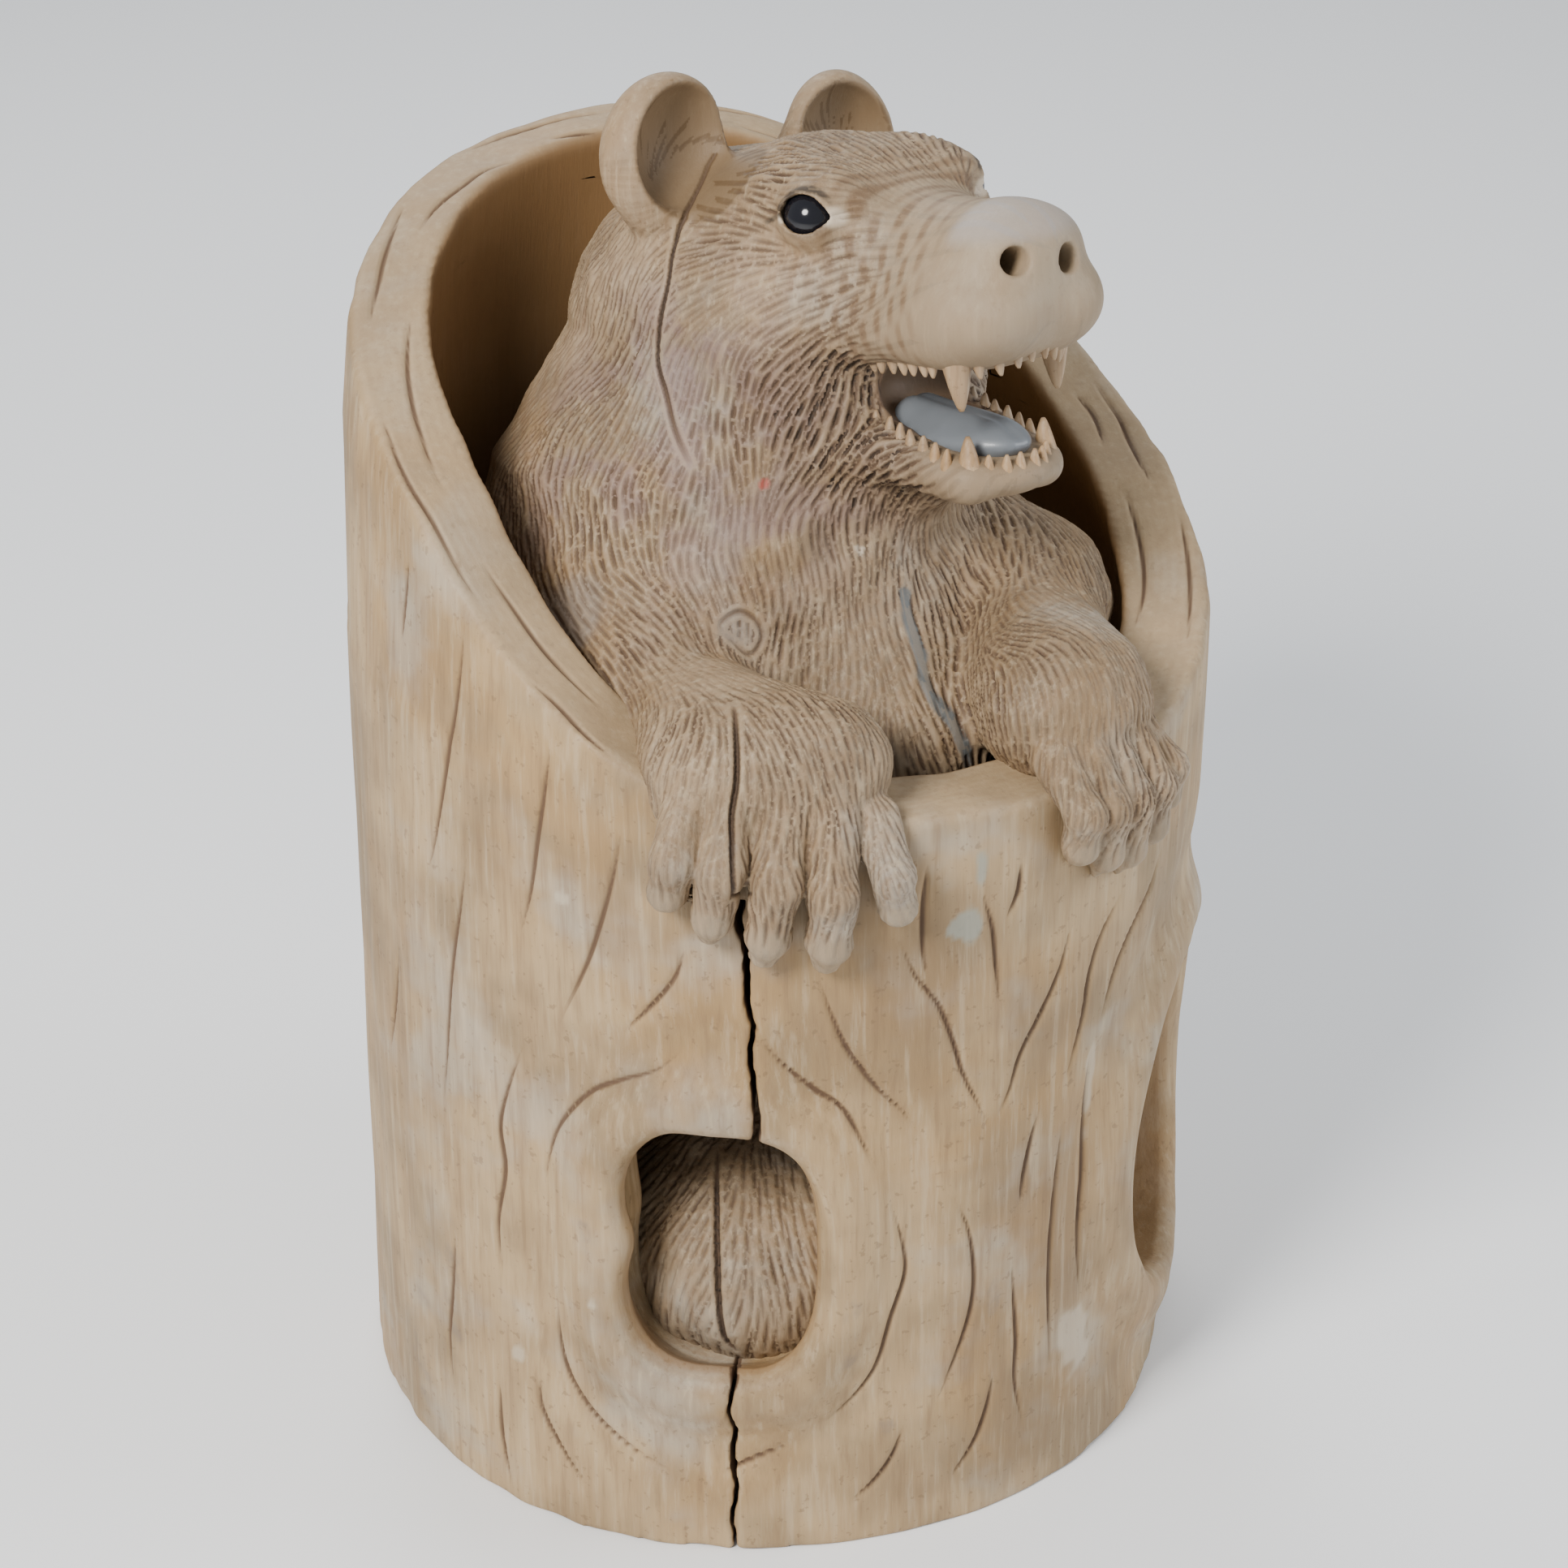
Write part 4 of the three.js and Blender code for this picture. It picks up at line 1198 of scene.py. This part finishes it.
CHEST_FILLER = [(20, -84, 379), (19, -97, 365), (17, -109, 351), (22, -116, 336), (25, -119, 324)]
# Chips of paint and filler, and grey and darker patches: mark, place, radius
BEAR_SPOTS = [
    ("red", (-25, -59, 424), 4.2), ("red", (-33, -56, 420), 2), ("pale", (5, -77, 398), 2),
    ("grey", (-88, -167, 340), 2.4), ("grey", (-46, -79, 377), 9), ("grey", (-95, -40, 372), 20),
    ("grey", (-50, -45, 415), 12), ("dark", (-60, -95, 362), 14), ("dark", (-10, -74, 402), 11),
]


def bear_skin_material(settings):
    found = bpy.data.materials.get("Carved fur")
    if found:
        return found
    tints = (
        ("stain", (0.2, 0.13, 0.13), 0.6),
        ("smooth", (0.28, 0.215, 0.14), 0.6),
        ("stripe", (0.14, 0.08, 0.04), 0.75),
        # Painted shade under the jaw, on the ruff
        ("beard", (0.14, 0.095, 0.06), 0.35),
        # Painted shade inside the mouth
        ("mouth", (0.13, 0.075, 0.045), 0.85),
        # Painted shade in the ear cups
        ("cup", (0.11, 0.065, 0.028), 0.85),
        # Painted sheen on the top of the nose pad, over its grey
        ("nose", (0.4, 0.385, 0.39), 0.5),
        ("pale", (0.62, 0.52, 0.4), 0.8),
        ("grey", (0.22, 0.2, 0.18), 0.5),
        ("dark", (0.1, 0.07, 0.045), 0.5),
        ("filler", (0.1, 0.115, 0.12), 0.9),
        # Painted shade in the creases round the eyes
        ("lash", (0.04, 0.03, 0.022), 0.9),
        ("red", (0.38, 0.07, 0.05), 0.9),
    )
    return wood_material("Carved fur", settings.colour, settings.cut_dirt_and_shade, 1.0, 0.58, tints, fur=True)


def nail_distance(points):
    """Distance from the bare nails at the ends of the digits."""
    found = np.full(len(points), 99, "f4")
    for paw in PAWS:
        for knuckle, tip, radius in paw["digits"]:
            start = polar(184, mix(knuckle[0], tip[0], 0.76), mix(knuckle[1], tip[1], 0.76))
            found = np.minimum(found, limb(start, polar(174, *tip), radius * 0.6, 3)(points))
    return found


def carved_fur(form, low, high, step, settings, seed, scale=1.0, plain=False):
    """Points, quads, marks, normals and grain of a form with its fur cut in."""
    low = tuple(np.floor(v / step) * step for v in low)
    points, quads = skin(form, low, high, step)
    q = to_head(points)
    if plain:
        marks = {word: np.zeros(len(points), "f4") for word in FUR_MARKS}
        fur = np.ones(len(points), "f4")
    else:
        marks = head_marks(q)
        nails = nail_distance(points)
        marks["smooth"] = np.maximum(marks["smooth"], smooth_step(2, 0.5, nails))
        fur = marks.pop("fur") * smooth_step(0, 3, nails)
        fur *= 1 + 0.6 * marks["beard"]
        filler = near_line(points, on_skin(form, CHEST_FILLER)) + 0.5 * ripple(points, 7, 31)
        marks["filler"] = smooth_step(3.4, 2.2, filler)
        fur *= 1 - marks["filler"]
    moved, cut, grain = relief(form, points, quads, fur, settings, settings.seed + seed, scale, BEAR_LINES)
    cheek = np.exp(-(length(q - np.array([10, -55, -45])) / 42) ** 2)
    neck = np.exp(-(length(points - np.array([-70, -30, 430])) / 55) ** 2)
    far_cheek = np.exp(-(length(q - np.array([40, -38, -80])) / 30) ** 2)
    marks["cut"] = cut
    marks["stain"] = np.clip(cheek + neck + far_cheek, 0, 1)
    for word in ("red", "grey", "dark"):
        marks[word] = np.zeros(len(points), "f4")
    for word, place, radius in BEAR_SPOTS:
        gap = length(points - np.array(place, "f4")) / radius + 0.25 * ripple(points, radius * 0.8, 41)
        marks[word] = np.maximum(marks[word], smooth_step(1.1, 0.5 if radius > 5 else 0.85, gap))
    return moved, quads, marks, normals_of(moved, quads), grain


class CARVE_OT_upper_body(bpy.types.Operator):
    """Carves the head and neck, and the chest with the forelegs over the rim, with their fur"""

    bl_idname = "carved_bear.upper_body"
    bl_label = "Head, Chest and Forelegs"

    def execute(self, context):
        settings = context.scene.carved_bear
        eye_radius = settings.eye_diameter / MM / 2
        low, high = (-130, -205, WAIST_LEVEL), (184, 130, 566)
        points, quads, marks, normals, grain = carved_fur(
            lambda p: bear_form(p, eye_radius), low, high, SKIN_STEP, settings, 1)
        above = points[quads[:, 0], 2] > SEAM_LEVEL
        for name, part in (("head_and_neck", above), ("chest_and_forelegs", ~above)):
            found = mesh_object(name, *part_of(points, quads[part], normals, marks),
                                bear_skin_material(settings), grain[part])
            finished(found, "carved_bear_in_trunk")
        return {"FINISHED"}


class CARVE_OT_lower_body(bpy.types.Operator):
    """Carves the body in the hollow and the hind paws behind the knot holes"""

    bl_idname = "carved_bear.lower_body"
    bl_label = "Lower Body"

    def execute(self, context):
        settings = context.scene.carved_bear
        low, high = (-112, -152, 14), (115, 115, WAIST_LEVEL + 2)
        points, quads, marks, normals, grain = carved_fur(
            lower_body_form, low, high, COARSE_STEP, settings, 3, 1.25, plain=True)
        found = mesh_object("lower_body", points, quads, marks, normals, bear_skin_material(settings), grain)
        finished(found, "carved_bear_in_trunk")
        return {"FINISHED"}


TOOTH_SIDES = 12


def tooth_points(tooth, side, draw):
    """Rings of a slightly curved, blunt tooth from the gum to the tip."""
    f, left, gum, tip, width = tooth
    down = 1 if tip < gum else -1
    root = gum + 3.0 * down
    around = np.linspace(0, 2 * np.pi, TOOTH_SIDES, endpoint=False)
    rings = []
    sway = draw.uniform(-0.6, 0.6, 2)
    for share in (0, 0.25, 0.5, 0.72, 0.88, 0.97):
        size = width * 0.62 * (1 - share) ** 0.62 + 0.25
        bend = share * share
        rings.append(np.stack([
            f + sway[0] * share + size * 0.95 * np.cos(around) + bend * 0.6,
            (left + 1 + sway[1] * share) * side + size * 0.8 * np.sin(around),
            np.full(TOOTH_SIDES, mix(root, tip, share)),
        ], 1))
    return rings


class CARVE_OT_teeth(bpy.types.Operator):
    """Carves the two rows of teeth"""

    bl_idname = "carved_bear.teeth"
    bl_label = "Teeth"

    def execute(self, context):
        settings = context.scene.carved_bear
        draw = np.random.default_rng(settings.seed)
        points, quads = [], []
        total = 0
        for side in (-1, 1):
            for tooth in UPPER_TEETH + LOWER_TEETH:
                rings = tooth_points(tooth, side, draw)
                points.append(np.concatenate(rings + [rings[-1].mean(0, keepdims=True)]))
                starts = [total + i * TOOTH_SIDES for i in range(len(rings))]
                for this, after in zip(starts, starts[1:]):
                    for j in range(TOOTH_SIDES):
                        k = (j + 1) % TOOTH_SIDES
                        quads.append([this + j, this + k, after + k, after + j])
                tip = starts[-1] + TOOTH_SIDES
                for j in range(0, TOOTH_SIDES, 2):
                    ends = [starts[-1] + (j + i) % TOOTH_SIDES for i in range(3)]
                    quads.append([*ends, tip])
                total += len(points[-1])
        points = from_head(np.concatenate(points))
        material = wood_material("Teeth wood", (0.42, 0.285, 0.165), settings.cut_dirt_and_shade, 1.4, 0.5)
        cut = np.zeros(len(points), "f4")
        found = mesh_object("teeth", points, np.array(quads), {"cut": cut}, None, material)
        finished(found, "carved_bear_in_trunk")
        return {"FINISHED"}


def ball_grid(columns=48, rows=28):
    """Unit ball as points and quads, open only at two tiny poles."""
    around = np.linspace(0, 2 * np.pi, columns, endpoint=False)
    down = np.linspace(0.012, np.pi - 0.012, rows)
    a, d = np.meshgrid(around, down)
    points = np.stack([np.sin(d) * np.cos(a), np.sin(d) * np.sin(a), np.cos(d)], -1).reshape(-1, 3)
    quads = []
    for i in range(rows - 1):
        for j in range(columns):
            k = (j + 1) % columns
            this, below = i * columns, (i + 1) * columns
            quads.append([this + j, below + j, below + k, this + k])
    return points.astype("f4"), np.array(quads)


class CARVE_OT_tongue(bpy.types.Operator):
    """Lays the grey tongue in the lower jaw"""

    bl_idname = "carved_bear.tongue"
    bl_label = "Tongue"

    def execute(self, context):
        settings = context.scene.carved_bear
        tongue = joined(limb(*TONGUE, 12, 9), (blob((82, 0, -66), (34, 17, 9)), 6))

        def form(p):
            q = to_head(p)
            furrow = 1.2 * np.exp(-((q[:, 1] / 2.6) ** 2)) * smooth_step(-75, -60, q[:, 2])
            return tongue(q) + furrow

        middle = from_head((80, 0, -64))
        points, quads = skin(form, tuple(middle - 46), tuple(middle + 46), SKIN_STEP)
        material = plain_material("Grey tongue", settings.tongue_colour, 0.42, 0.15, 0.3)
        found = mesh_object("tongue", points, quads, None, None, material)
        finished(found, "carved_bear_in_trunk")
        return {"FINISHED"}


class CARVE_OT_eyes(bpy.types.Operator):
    """Sets the two glossy bead eyes"""

    bl_idname = "carved_bear.eyes"
    bl_label = "Eyes"

    def execute(self, context):
        settings = context.scene.carved_bear
        radius = settings.eye_diameter / MM / 2
        material = plain_material("Black bead", settings.eye_colour, 0.12)
        points, quads = ball_grid()
        for side, node in ((-1, "right_eye"), (1, "left_eye")):
            placed = from_head(points * (radius - 0.05) + eye_middle(side))
            found = mesh_object(node + "_bead", placed, quads, None, None, material)
            finished(found, node, slot="eye_bead")
        return {"FINISHED"}


def hidden_splits(draw):
    """Splits for the sides away from the front, as lists of (degrees, height)."""
    found = []
    for _ in range(38):
        angle = draw.uniform(62, 268)
        top = draw.uniform(60, float(rim_height(angle)) - 14)
        run = draw.uniform(30, 120)
        bow = draw.uniform(-3, 3)
        share = np.linspace(0, 1, 5)
        line = [(angle + bow * np.sin(np.pi * t) + draw.normal(0, 0.4), max(top - run * t, 6))
                for t in share]
        beside = abs((angle - KNOT_HOLES[1]["angle"]) * TRUNK_RADIUS * np.pi / 180) < 70
        if not (beside and top - run < 220):
            found.append(line)
    return found


def curved(line, parts=6):
    """More points on a smooth curve through the points of a line."""
    line = np.array(line, float)
    ends = np.concatenate([[2 * line[0] - line[1]], line, [2 * line[-1] - line[-2]]])
    t = np.arange(parts)[:, None] / parts
    found = []
    for a, b, c, d in zip(ends[:-3], ends[1:-2], ends[2:-1], ends[3:]):
        found.append(b + 0.5 * t * (c - a + t * (2 * a - 5 * b + 4 * c - d + t * (3 * (b - c) + d - a))))
    return np.concatenate(found + [line[-1:]])


def split_depth(x, y, lines, width):
    """How deep the splits are at flat places, from 0 to 1: sharp valleys that taper at their ends."""
    deep = np.zeros(len(x), "f4")
    for line in lines:
        line = curved(line)
        low, high = line.min(0) - 6, line.max(0) + 6
        near = np.flatnonzero((x > low[0]) & (x < high[0]) & (y > low[1]) & (y < high[1]))
        if not len(near):
            continue
        place = np.stack([x[near], y[near]], 1)
        run = np.concatenate([[0], np.cumsum(length(np.diff(line, axis=0)))])
        best = np.full(len(near), 1e9)
        share = np.zeros(len(near))
        for i in range(len(line) - 1):
            along = line[i + 1] - line[i]
            t = np.clip((place - line[i]) @ along / (along @ along), 0, 1)
            gap = length(place - line[i] - t[:, None] * along)
            closer = gap < best
            best = np.where(closer, gap, best)
            share = np.where(closer, (run[i] + t * (run[i + 1] - run[i])) / run[-1], share)
        swell = np.sin(np.pi * np.clip(share, 0.02, 0.98)) ** 0.55
        depth = np.clip(1 - best / (width * 0.5 * (0.4 + 0.6 * swell)), 0, 1) * swell
        deep[near] = np.maximum(deep[near], depth)
    return deep


def crack_gap(angle, z, crack, width):
    """Distance sideways from a crack's edges, below zero inside it."""
    s = np.radians(angle) * TRUNK_RADIUS
    line_s = np.radians([a for a, _ in crack]) * TRUNK_RADIUS
    line_z = np.array([h for _, h in crack], float)
    centre = np.interp(-z, -line_z, line_s) + 0.35 * np.sin(z * 0.31) + 0.25 * np.sin(z * 0.83 + 1)
    width = np.where(z < 120, 0.55, 0.85) * width
    beyond = np.maximum(z - line_z[0], line_z[-1] - z)
    return np.maximum(np.abs(s - centre) - width / 2, beyond)


def log_form(a, z, radii, settings):
    """Distances of the log on a grid of angles, heights and radii."""
    outer = trunk_radius(a, z).astype("f4")[..., None]
    inner = (log_radius(a, z) - wall_thickness(a)).astype("f4")[..., None]
    below_rim = (rim_height(a) - z).astype("f4")[..., None]
    z = z.astype("f4")[..., None]
    r = radii.astype("f4")[None, None, :]
    wall = -soft_min(outer - r, r - inner, 5)
    # The hollow's floor closes the wall inside
    wall = soft_min(wall, np.maximum(z - HOLLOW_FLOOR, r - outer + 12), 12)
    d = -soft_min(-wall, below_rim + 0 * r, 5)
    for hole in KNOT_HOLES:
        open_by = [hole["under"], hole["under"], 0, 3, 8]
        flare = np.interp(radii, [96, 150, 163, 174, 188], open_by).astype("f4")
        off = hole_offset(hole, a, z[..., 0]).astype("f4")[..., None]
        d = -soft_min(-d, off - flare, 6)
    for crack in CRACKS:
        gap = crack_gap(a, z[..., 0], crack, settings.crack_width / MM).astype("f4")[..., None]
        d = -soft_min(-d, np.maximum(gap + (TRUNK_RADIUS - r) * 0.03, TRUNK_RADIUS - 27 - r), 0.8)
    return np.maximum(d, -z + 0 * r)


def merged(cells, quads, plain, size=3):
    """Quads, where each square of size x size plain ones becomes one quad."""
    columns, rows = cells[:, 0].max() + 2, cells[:, 1].max() + 2
    index = np.full((columns, rows), -1)
    index[cells[plain, 0], cells[plain, 1]] = np.flatnonzero(plain)
    taken = np.zeros((columns, rows), bool)
    made = []
    for i in range(0, columns - size, size):
        for j in range(0, rows - size, size):
            if (index[i : i + size + 1, j : j + size + 1] >= 0).all():
                corners = ((i, j), (i, j + size), (i + size, j + size), (i + size, j))
                made.append([index[corner] for corner in corners])
                taken[i : i + size, j : j + size] = True
    low = cells[quads].min(1)
    high = np.maximum(cells[quads].max(1) - 1, 0)
    inside = taken[low[:, 0], low[:, 1]] & taken[high[:, 0], high[:, 1]] & (high[:, 0] <= low[:, 0])
    keep = ~(plain[quads].all(1) & inside)
    return np.concatenate([quads[keep], np.array(made)])


class CARVE_OT_log(bpy.types.Operator):
    """Hollows the log, with its rim, knot holes, cracks and splits"""

    bl_idname = "carved_bear.log"
    bl_label = "Log"

    def execute(self, context):
        settings = context.scene.carved_log
        columns = np.concatenate([
            np.arange(SEEN_FROM, SEEN_TO, SEEN_STEP),
            np.arange(SEEN_TO, SEEN_FROM + 360, HIDDEN_STEP),
        ])
        angle = np.append(columns, columns[:2] + 360)
        heights = np.concatenate([[-3, -0.01], np.arange(LOG_ROW, 512, LOG_ROW)])
        radii = np.arange(*LOG_LAYERS)
        a, z = np.meshgrid(angle, heights, indexing="ij")
        place, quads, cells = net(log_form(a, z, radii, settings), closed=True)
        angles = np.interp(place[:, 0], np.arange(len(angle)), angle)
        angles = (angles + 180) % 360 - 180
        zs = np.interp(place[:, 1], np.arange(len(heights)), heights)
        rs = np.interp(place[:, 2], np.arange(len(radii)), radii)
        points = polar(rs, angles, zs)
        normals = normals_of(points, quads)
        outer = trunk_radius(angles, zs)
        inner = log_radius(angles, zs) - wall_thickness(angles)
        below_rim = rim_height(angles) - zs
        off_hole = np.minimum(*(hole_offset(hole, angles, zs) for hole in KNOT_HOLES))
        bark = smooth_step(7, 3, outer - rs) * smooth_step(2, 9, below_rim) * smooth_step(-2, 5, off_hole)
        draw = np.random.default_rng(5)
        flat = [[(np.radians(at) * TRUNK_RADIUS, height) for at, height in line]
                for line in BARK_SPLITS + hidden_splits(draw)]
        turned = np.where(angles < SEEN_FROM, angles + 360, angles)
        deep = split_depth(np.radians(turned) * TRUNK_RADIUS, zs, flat, SPLIT_WIDTH) * bark
        band = smooth_step(-1, 3, outer - rs) * smooth_step(-1, 3, rs - inner)
        on_rim = smooth_step(9, 4, below_rim) * band
        around = [[(np.radians(at) * RIM_MIDDLE, radius) for at, radius in line] for line in RIM_SPLITS]
        lines = split_depth(np.radians(angles) * RIM_MIDDLE, rs, around, RIM_SPLIT_WIDTH) * on_rim
        tool = 0.35 * ripple(points * np.array([1, 1, 0.25], "f4"), 11, 3)
        push = tool - settings.groove_depth / MM * (deep + 0.8 * lines)
        moved = points + normals * push[:, None]
        moved[:, 2] = np.where(zs < 2, np.maximum(moved[:, 2], 0), moved[:, 2])
        hollow = smooth_step(4, 0, rs - inner) * (zs > HOLLOW_FLOOR - 4)
        # Walls of the knot holes: painted shade, added to the hollow mark
        hole_wall_shade = smooth_step(9, 2, off_hole) * smooth_step(2, 8, outer - rs)
        # The wood material darkens the vertices by cut, as painted shade and dirt in the splits and cracks
        cut = np.clip(deep + lines, 0, 1)
        for crack in CRACKS:
            gap = crack_gap(angles, zs, crack, settings.crack_width / MM)
            cut = np.maximum(cut, smooth_step(1.2, 0.1, gap) * smooth_step(0.5, 3, outer - rs))
        bark_s = np.radians(angles) * TRUNK_RADIUS
        marks = {"cut": cut, "hollow": np.maximum(hollow, hole_wall_shade * 0.6), "edge": on_rim}
        for word in ("putty", "pale", "stain"):
            marks[word] = np.zeros(len(points), "f4")
        for word, at, height, across, tall in BARK_SPOTS:
            gap = np.hypot((bark_s - np.radians(at) * TRUNK_RADIUS) / across, (zs - height) / tall)
            ragged = gap + 0.3 * ripple(points, 7, 21)
            marks[word] = np.maximum(marks[word], smooth_step(1.15, 0.75, ragged) * (outer - rs < 9))
        plain = (np.abs(rs - inner) < 2.5) & (below_rim > 18) & (off_hole > 16)
        plain &= zs > HOLLOW_FLOOR + 14
        quads = merged(cells, quads, plain)
        normals = normals_of(moved, quads)
        tints = (
            # hollow: darker wood of the hollow's wall, and painted shade on the knot holes' walls
            ("hollow", settings.inside, 0.9),
            ("edge", settings.rim_colour, 0.5),
            ("putty", (0.3, 0.31, 0.26), 0.75),
            ("pale", (0.5, 0.42, 0.31), 0.6),
            ("stain", (0.2, 0.15, 0.11), 0.55),
        )
        material = wood_material("Log wood", settings.colour, settings.cut_dirt_and_shade, 0.8, 0.6, tints)
        middle = angles[quads[:, 0]]
        seen = (middle > SEEN_FROM) & (middle < SEEN_TO)
        for name, part in (
            ("log_left", seen & (middle < LEFT_SEAM)),
            ("log_front", seen & (middle >= LEFT_SEAM)),
            ("log_back", ~seen),
        ):
            found = mesh_object(name, *part_of(moved, quads[part], normals, marks), material)
            finished(found, "carved_bear_in_trunk")
        return {"FINISHED"}


class CARVE_OT_stage(bpy.types.Operator):
    """Lays the floor and sets light and camera"""

    bl_idname = "carved_bear.stage"
    bl_label = "Stage"

    def execute(self, context):
        settings = context.scene.carved_bear_stage
        corners = [(x * FLOOR_HALF, y * FLOOR_HALF, 0) for x, y in ((-1, -1), (1, -1), (1, 1), (-1, 1))]
        floor = mesh_object("floor", np.array(corners, "f4"), np.array([[0, 1, 2, 3]]))
        floor.location.z = -FLOOR_GAP
        paint, put, _ = new_material("Pale floor")
        shader = paint.node_tree.nodes["Principled BSDF"]
        put(shader, "Base Color", (*settings.floor_colour, 1))
        put(shader, "Roughness", 0.55)
        floor.data.materials.append(paint)
        world = bpy.data.worlds.new("Soft room")
        world.use_nodes = True
        background = world.node_tree.nodes["Background"]
        background.inputs["Color"].default_value = SKY_COLOUR
        background.inputs["Strength"].default_value = SKY_STRENGTH
        context.scene.world = world
        aim = Vector(LIGHTS_AIM)
        powers = (settings.key_power, settings.fill_power, settings.fill_power * BACK_SHARE)
        for (name, place, size, tint), power in zip(LIGHTS, powers):
            light = bpy.data.lights.new(name, "AREA")
            light.shape = "DISK"
            light.size = size
            light.energy = power
            light.color = tint
            lamp = bpy.data.objects.new(name, light)
            lamp.location = place
            lamp.rotation_euler = (aim - Vector(place)).to_track_quat("-Z", "Y").to_euler()
            context.collection.objects.link(lamp)
        turn, rise, tilt = (np.radians(v) for v in (CAMERA_TURN, CAMERA_RISE, CAMERA_TILT))
        back = Vector((np.sin(turn) * np.cos(rise), -np.cos(turn) * np.cos(rise), np.sin(rise)))
        right0 = Vector((np.cos(turn), np.sin(turn), 0))
        up0 = back.cross(right0)
        right = right0 * np.cos(tilt) - up0 * np.sin(tilt)
        up = up0 * np.cos(tilt) + right0 * np.sin(tilt)
        camera = bpy.data.objects.new("Camera", bpy.data.cameras.new("Camera"))
        camera.data.lens = settings.lens
        camera.data.sensor_width = CAMERA_SENSOR
        camera.data.clip_start = 0.05
        at = Vector((0, 0, CAMERA_AIM)) + back * CAMERA_DISTANCE + right * CAMERA_ASIDE
        axes = Matrix((right, up, back)).transposed().to_4x4()
        camera.matrix_world = Matrix.Translation(at) @ axes
        context.collection.objects.link(camera)
        context.scene.camera = camera
        return {"FINISHED"}


class CARVE_PT_panel(bpy.types.Panel):
    """Lists the pieces of the carving"""

    bl_idname = "CARVE_PT_panel"
    bl_label = "Carved Bear in a Trunk"
    bl_space_type = "VIEW_3D"
    bl_region_type = "UI"
    bl_category = "Carved Bear"

    def draw(self, context):
        layout = self.layout
        for group in (context.scene.carved_log, context.scene.carved_bear, context.scene.carved_bear_stage):
            box = layout.box()
            for name in group.__annotations__:
                box.prop(group, name)
        for operator in OPERATORS:
            layout.operator(operator.bl_idname)


OPERATORS = (
    CARVE_OT_log,
    CARVE_OT_upper_body,
    CARVE_OT_lower_body,
    CARVE_OT_teeth,
    CARVE_OT_tongue,
    CARVE_OT_eyes,
    CARVE_OT_stage,
)
CLASSES = (TrunkSettings, BearSettings, StageSettings, *OPERATORS, CARVE_PT_panel)


def register():
    for item in CLASSES:
        bpy.utils.register_class(item)
    bpy.types.Scene.carved_log = PointerProperty(type=TrunkSettings)
    bpy.types.Scene.carved_bear = PointerProperty(type=BearSettings)
    bpy.types.Scene.carved_bear_stage = PointerProperty(type=StageSettings)


def unregister():
    del bpy.types.Scene.carved_bear_stage
    del bpy.types.Scene.carved_bear
    del bpy.types.Scene.carved_log
    for item in reversed(CLASSES):
        bpy.utils.unregister_class(item)


def main():
    register()
    bpy.ops.carved_bear.log()
    bpy.ops.carved_bear.upper_body()
    bpy.ops.carved_bear.lower_body()
    bpy.ops.carved_bear.teeth()
    bpy.ops.carved_bear.tongue()
    bpy.ops.carved_bear.eyes()
    bpy.ops.carved_bear.stage()


if __name__ == "__main__":
    main()
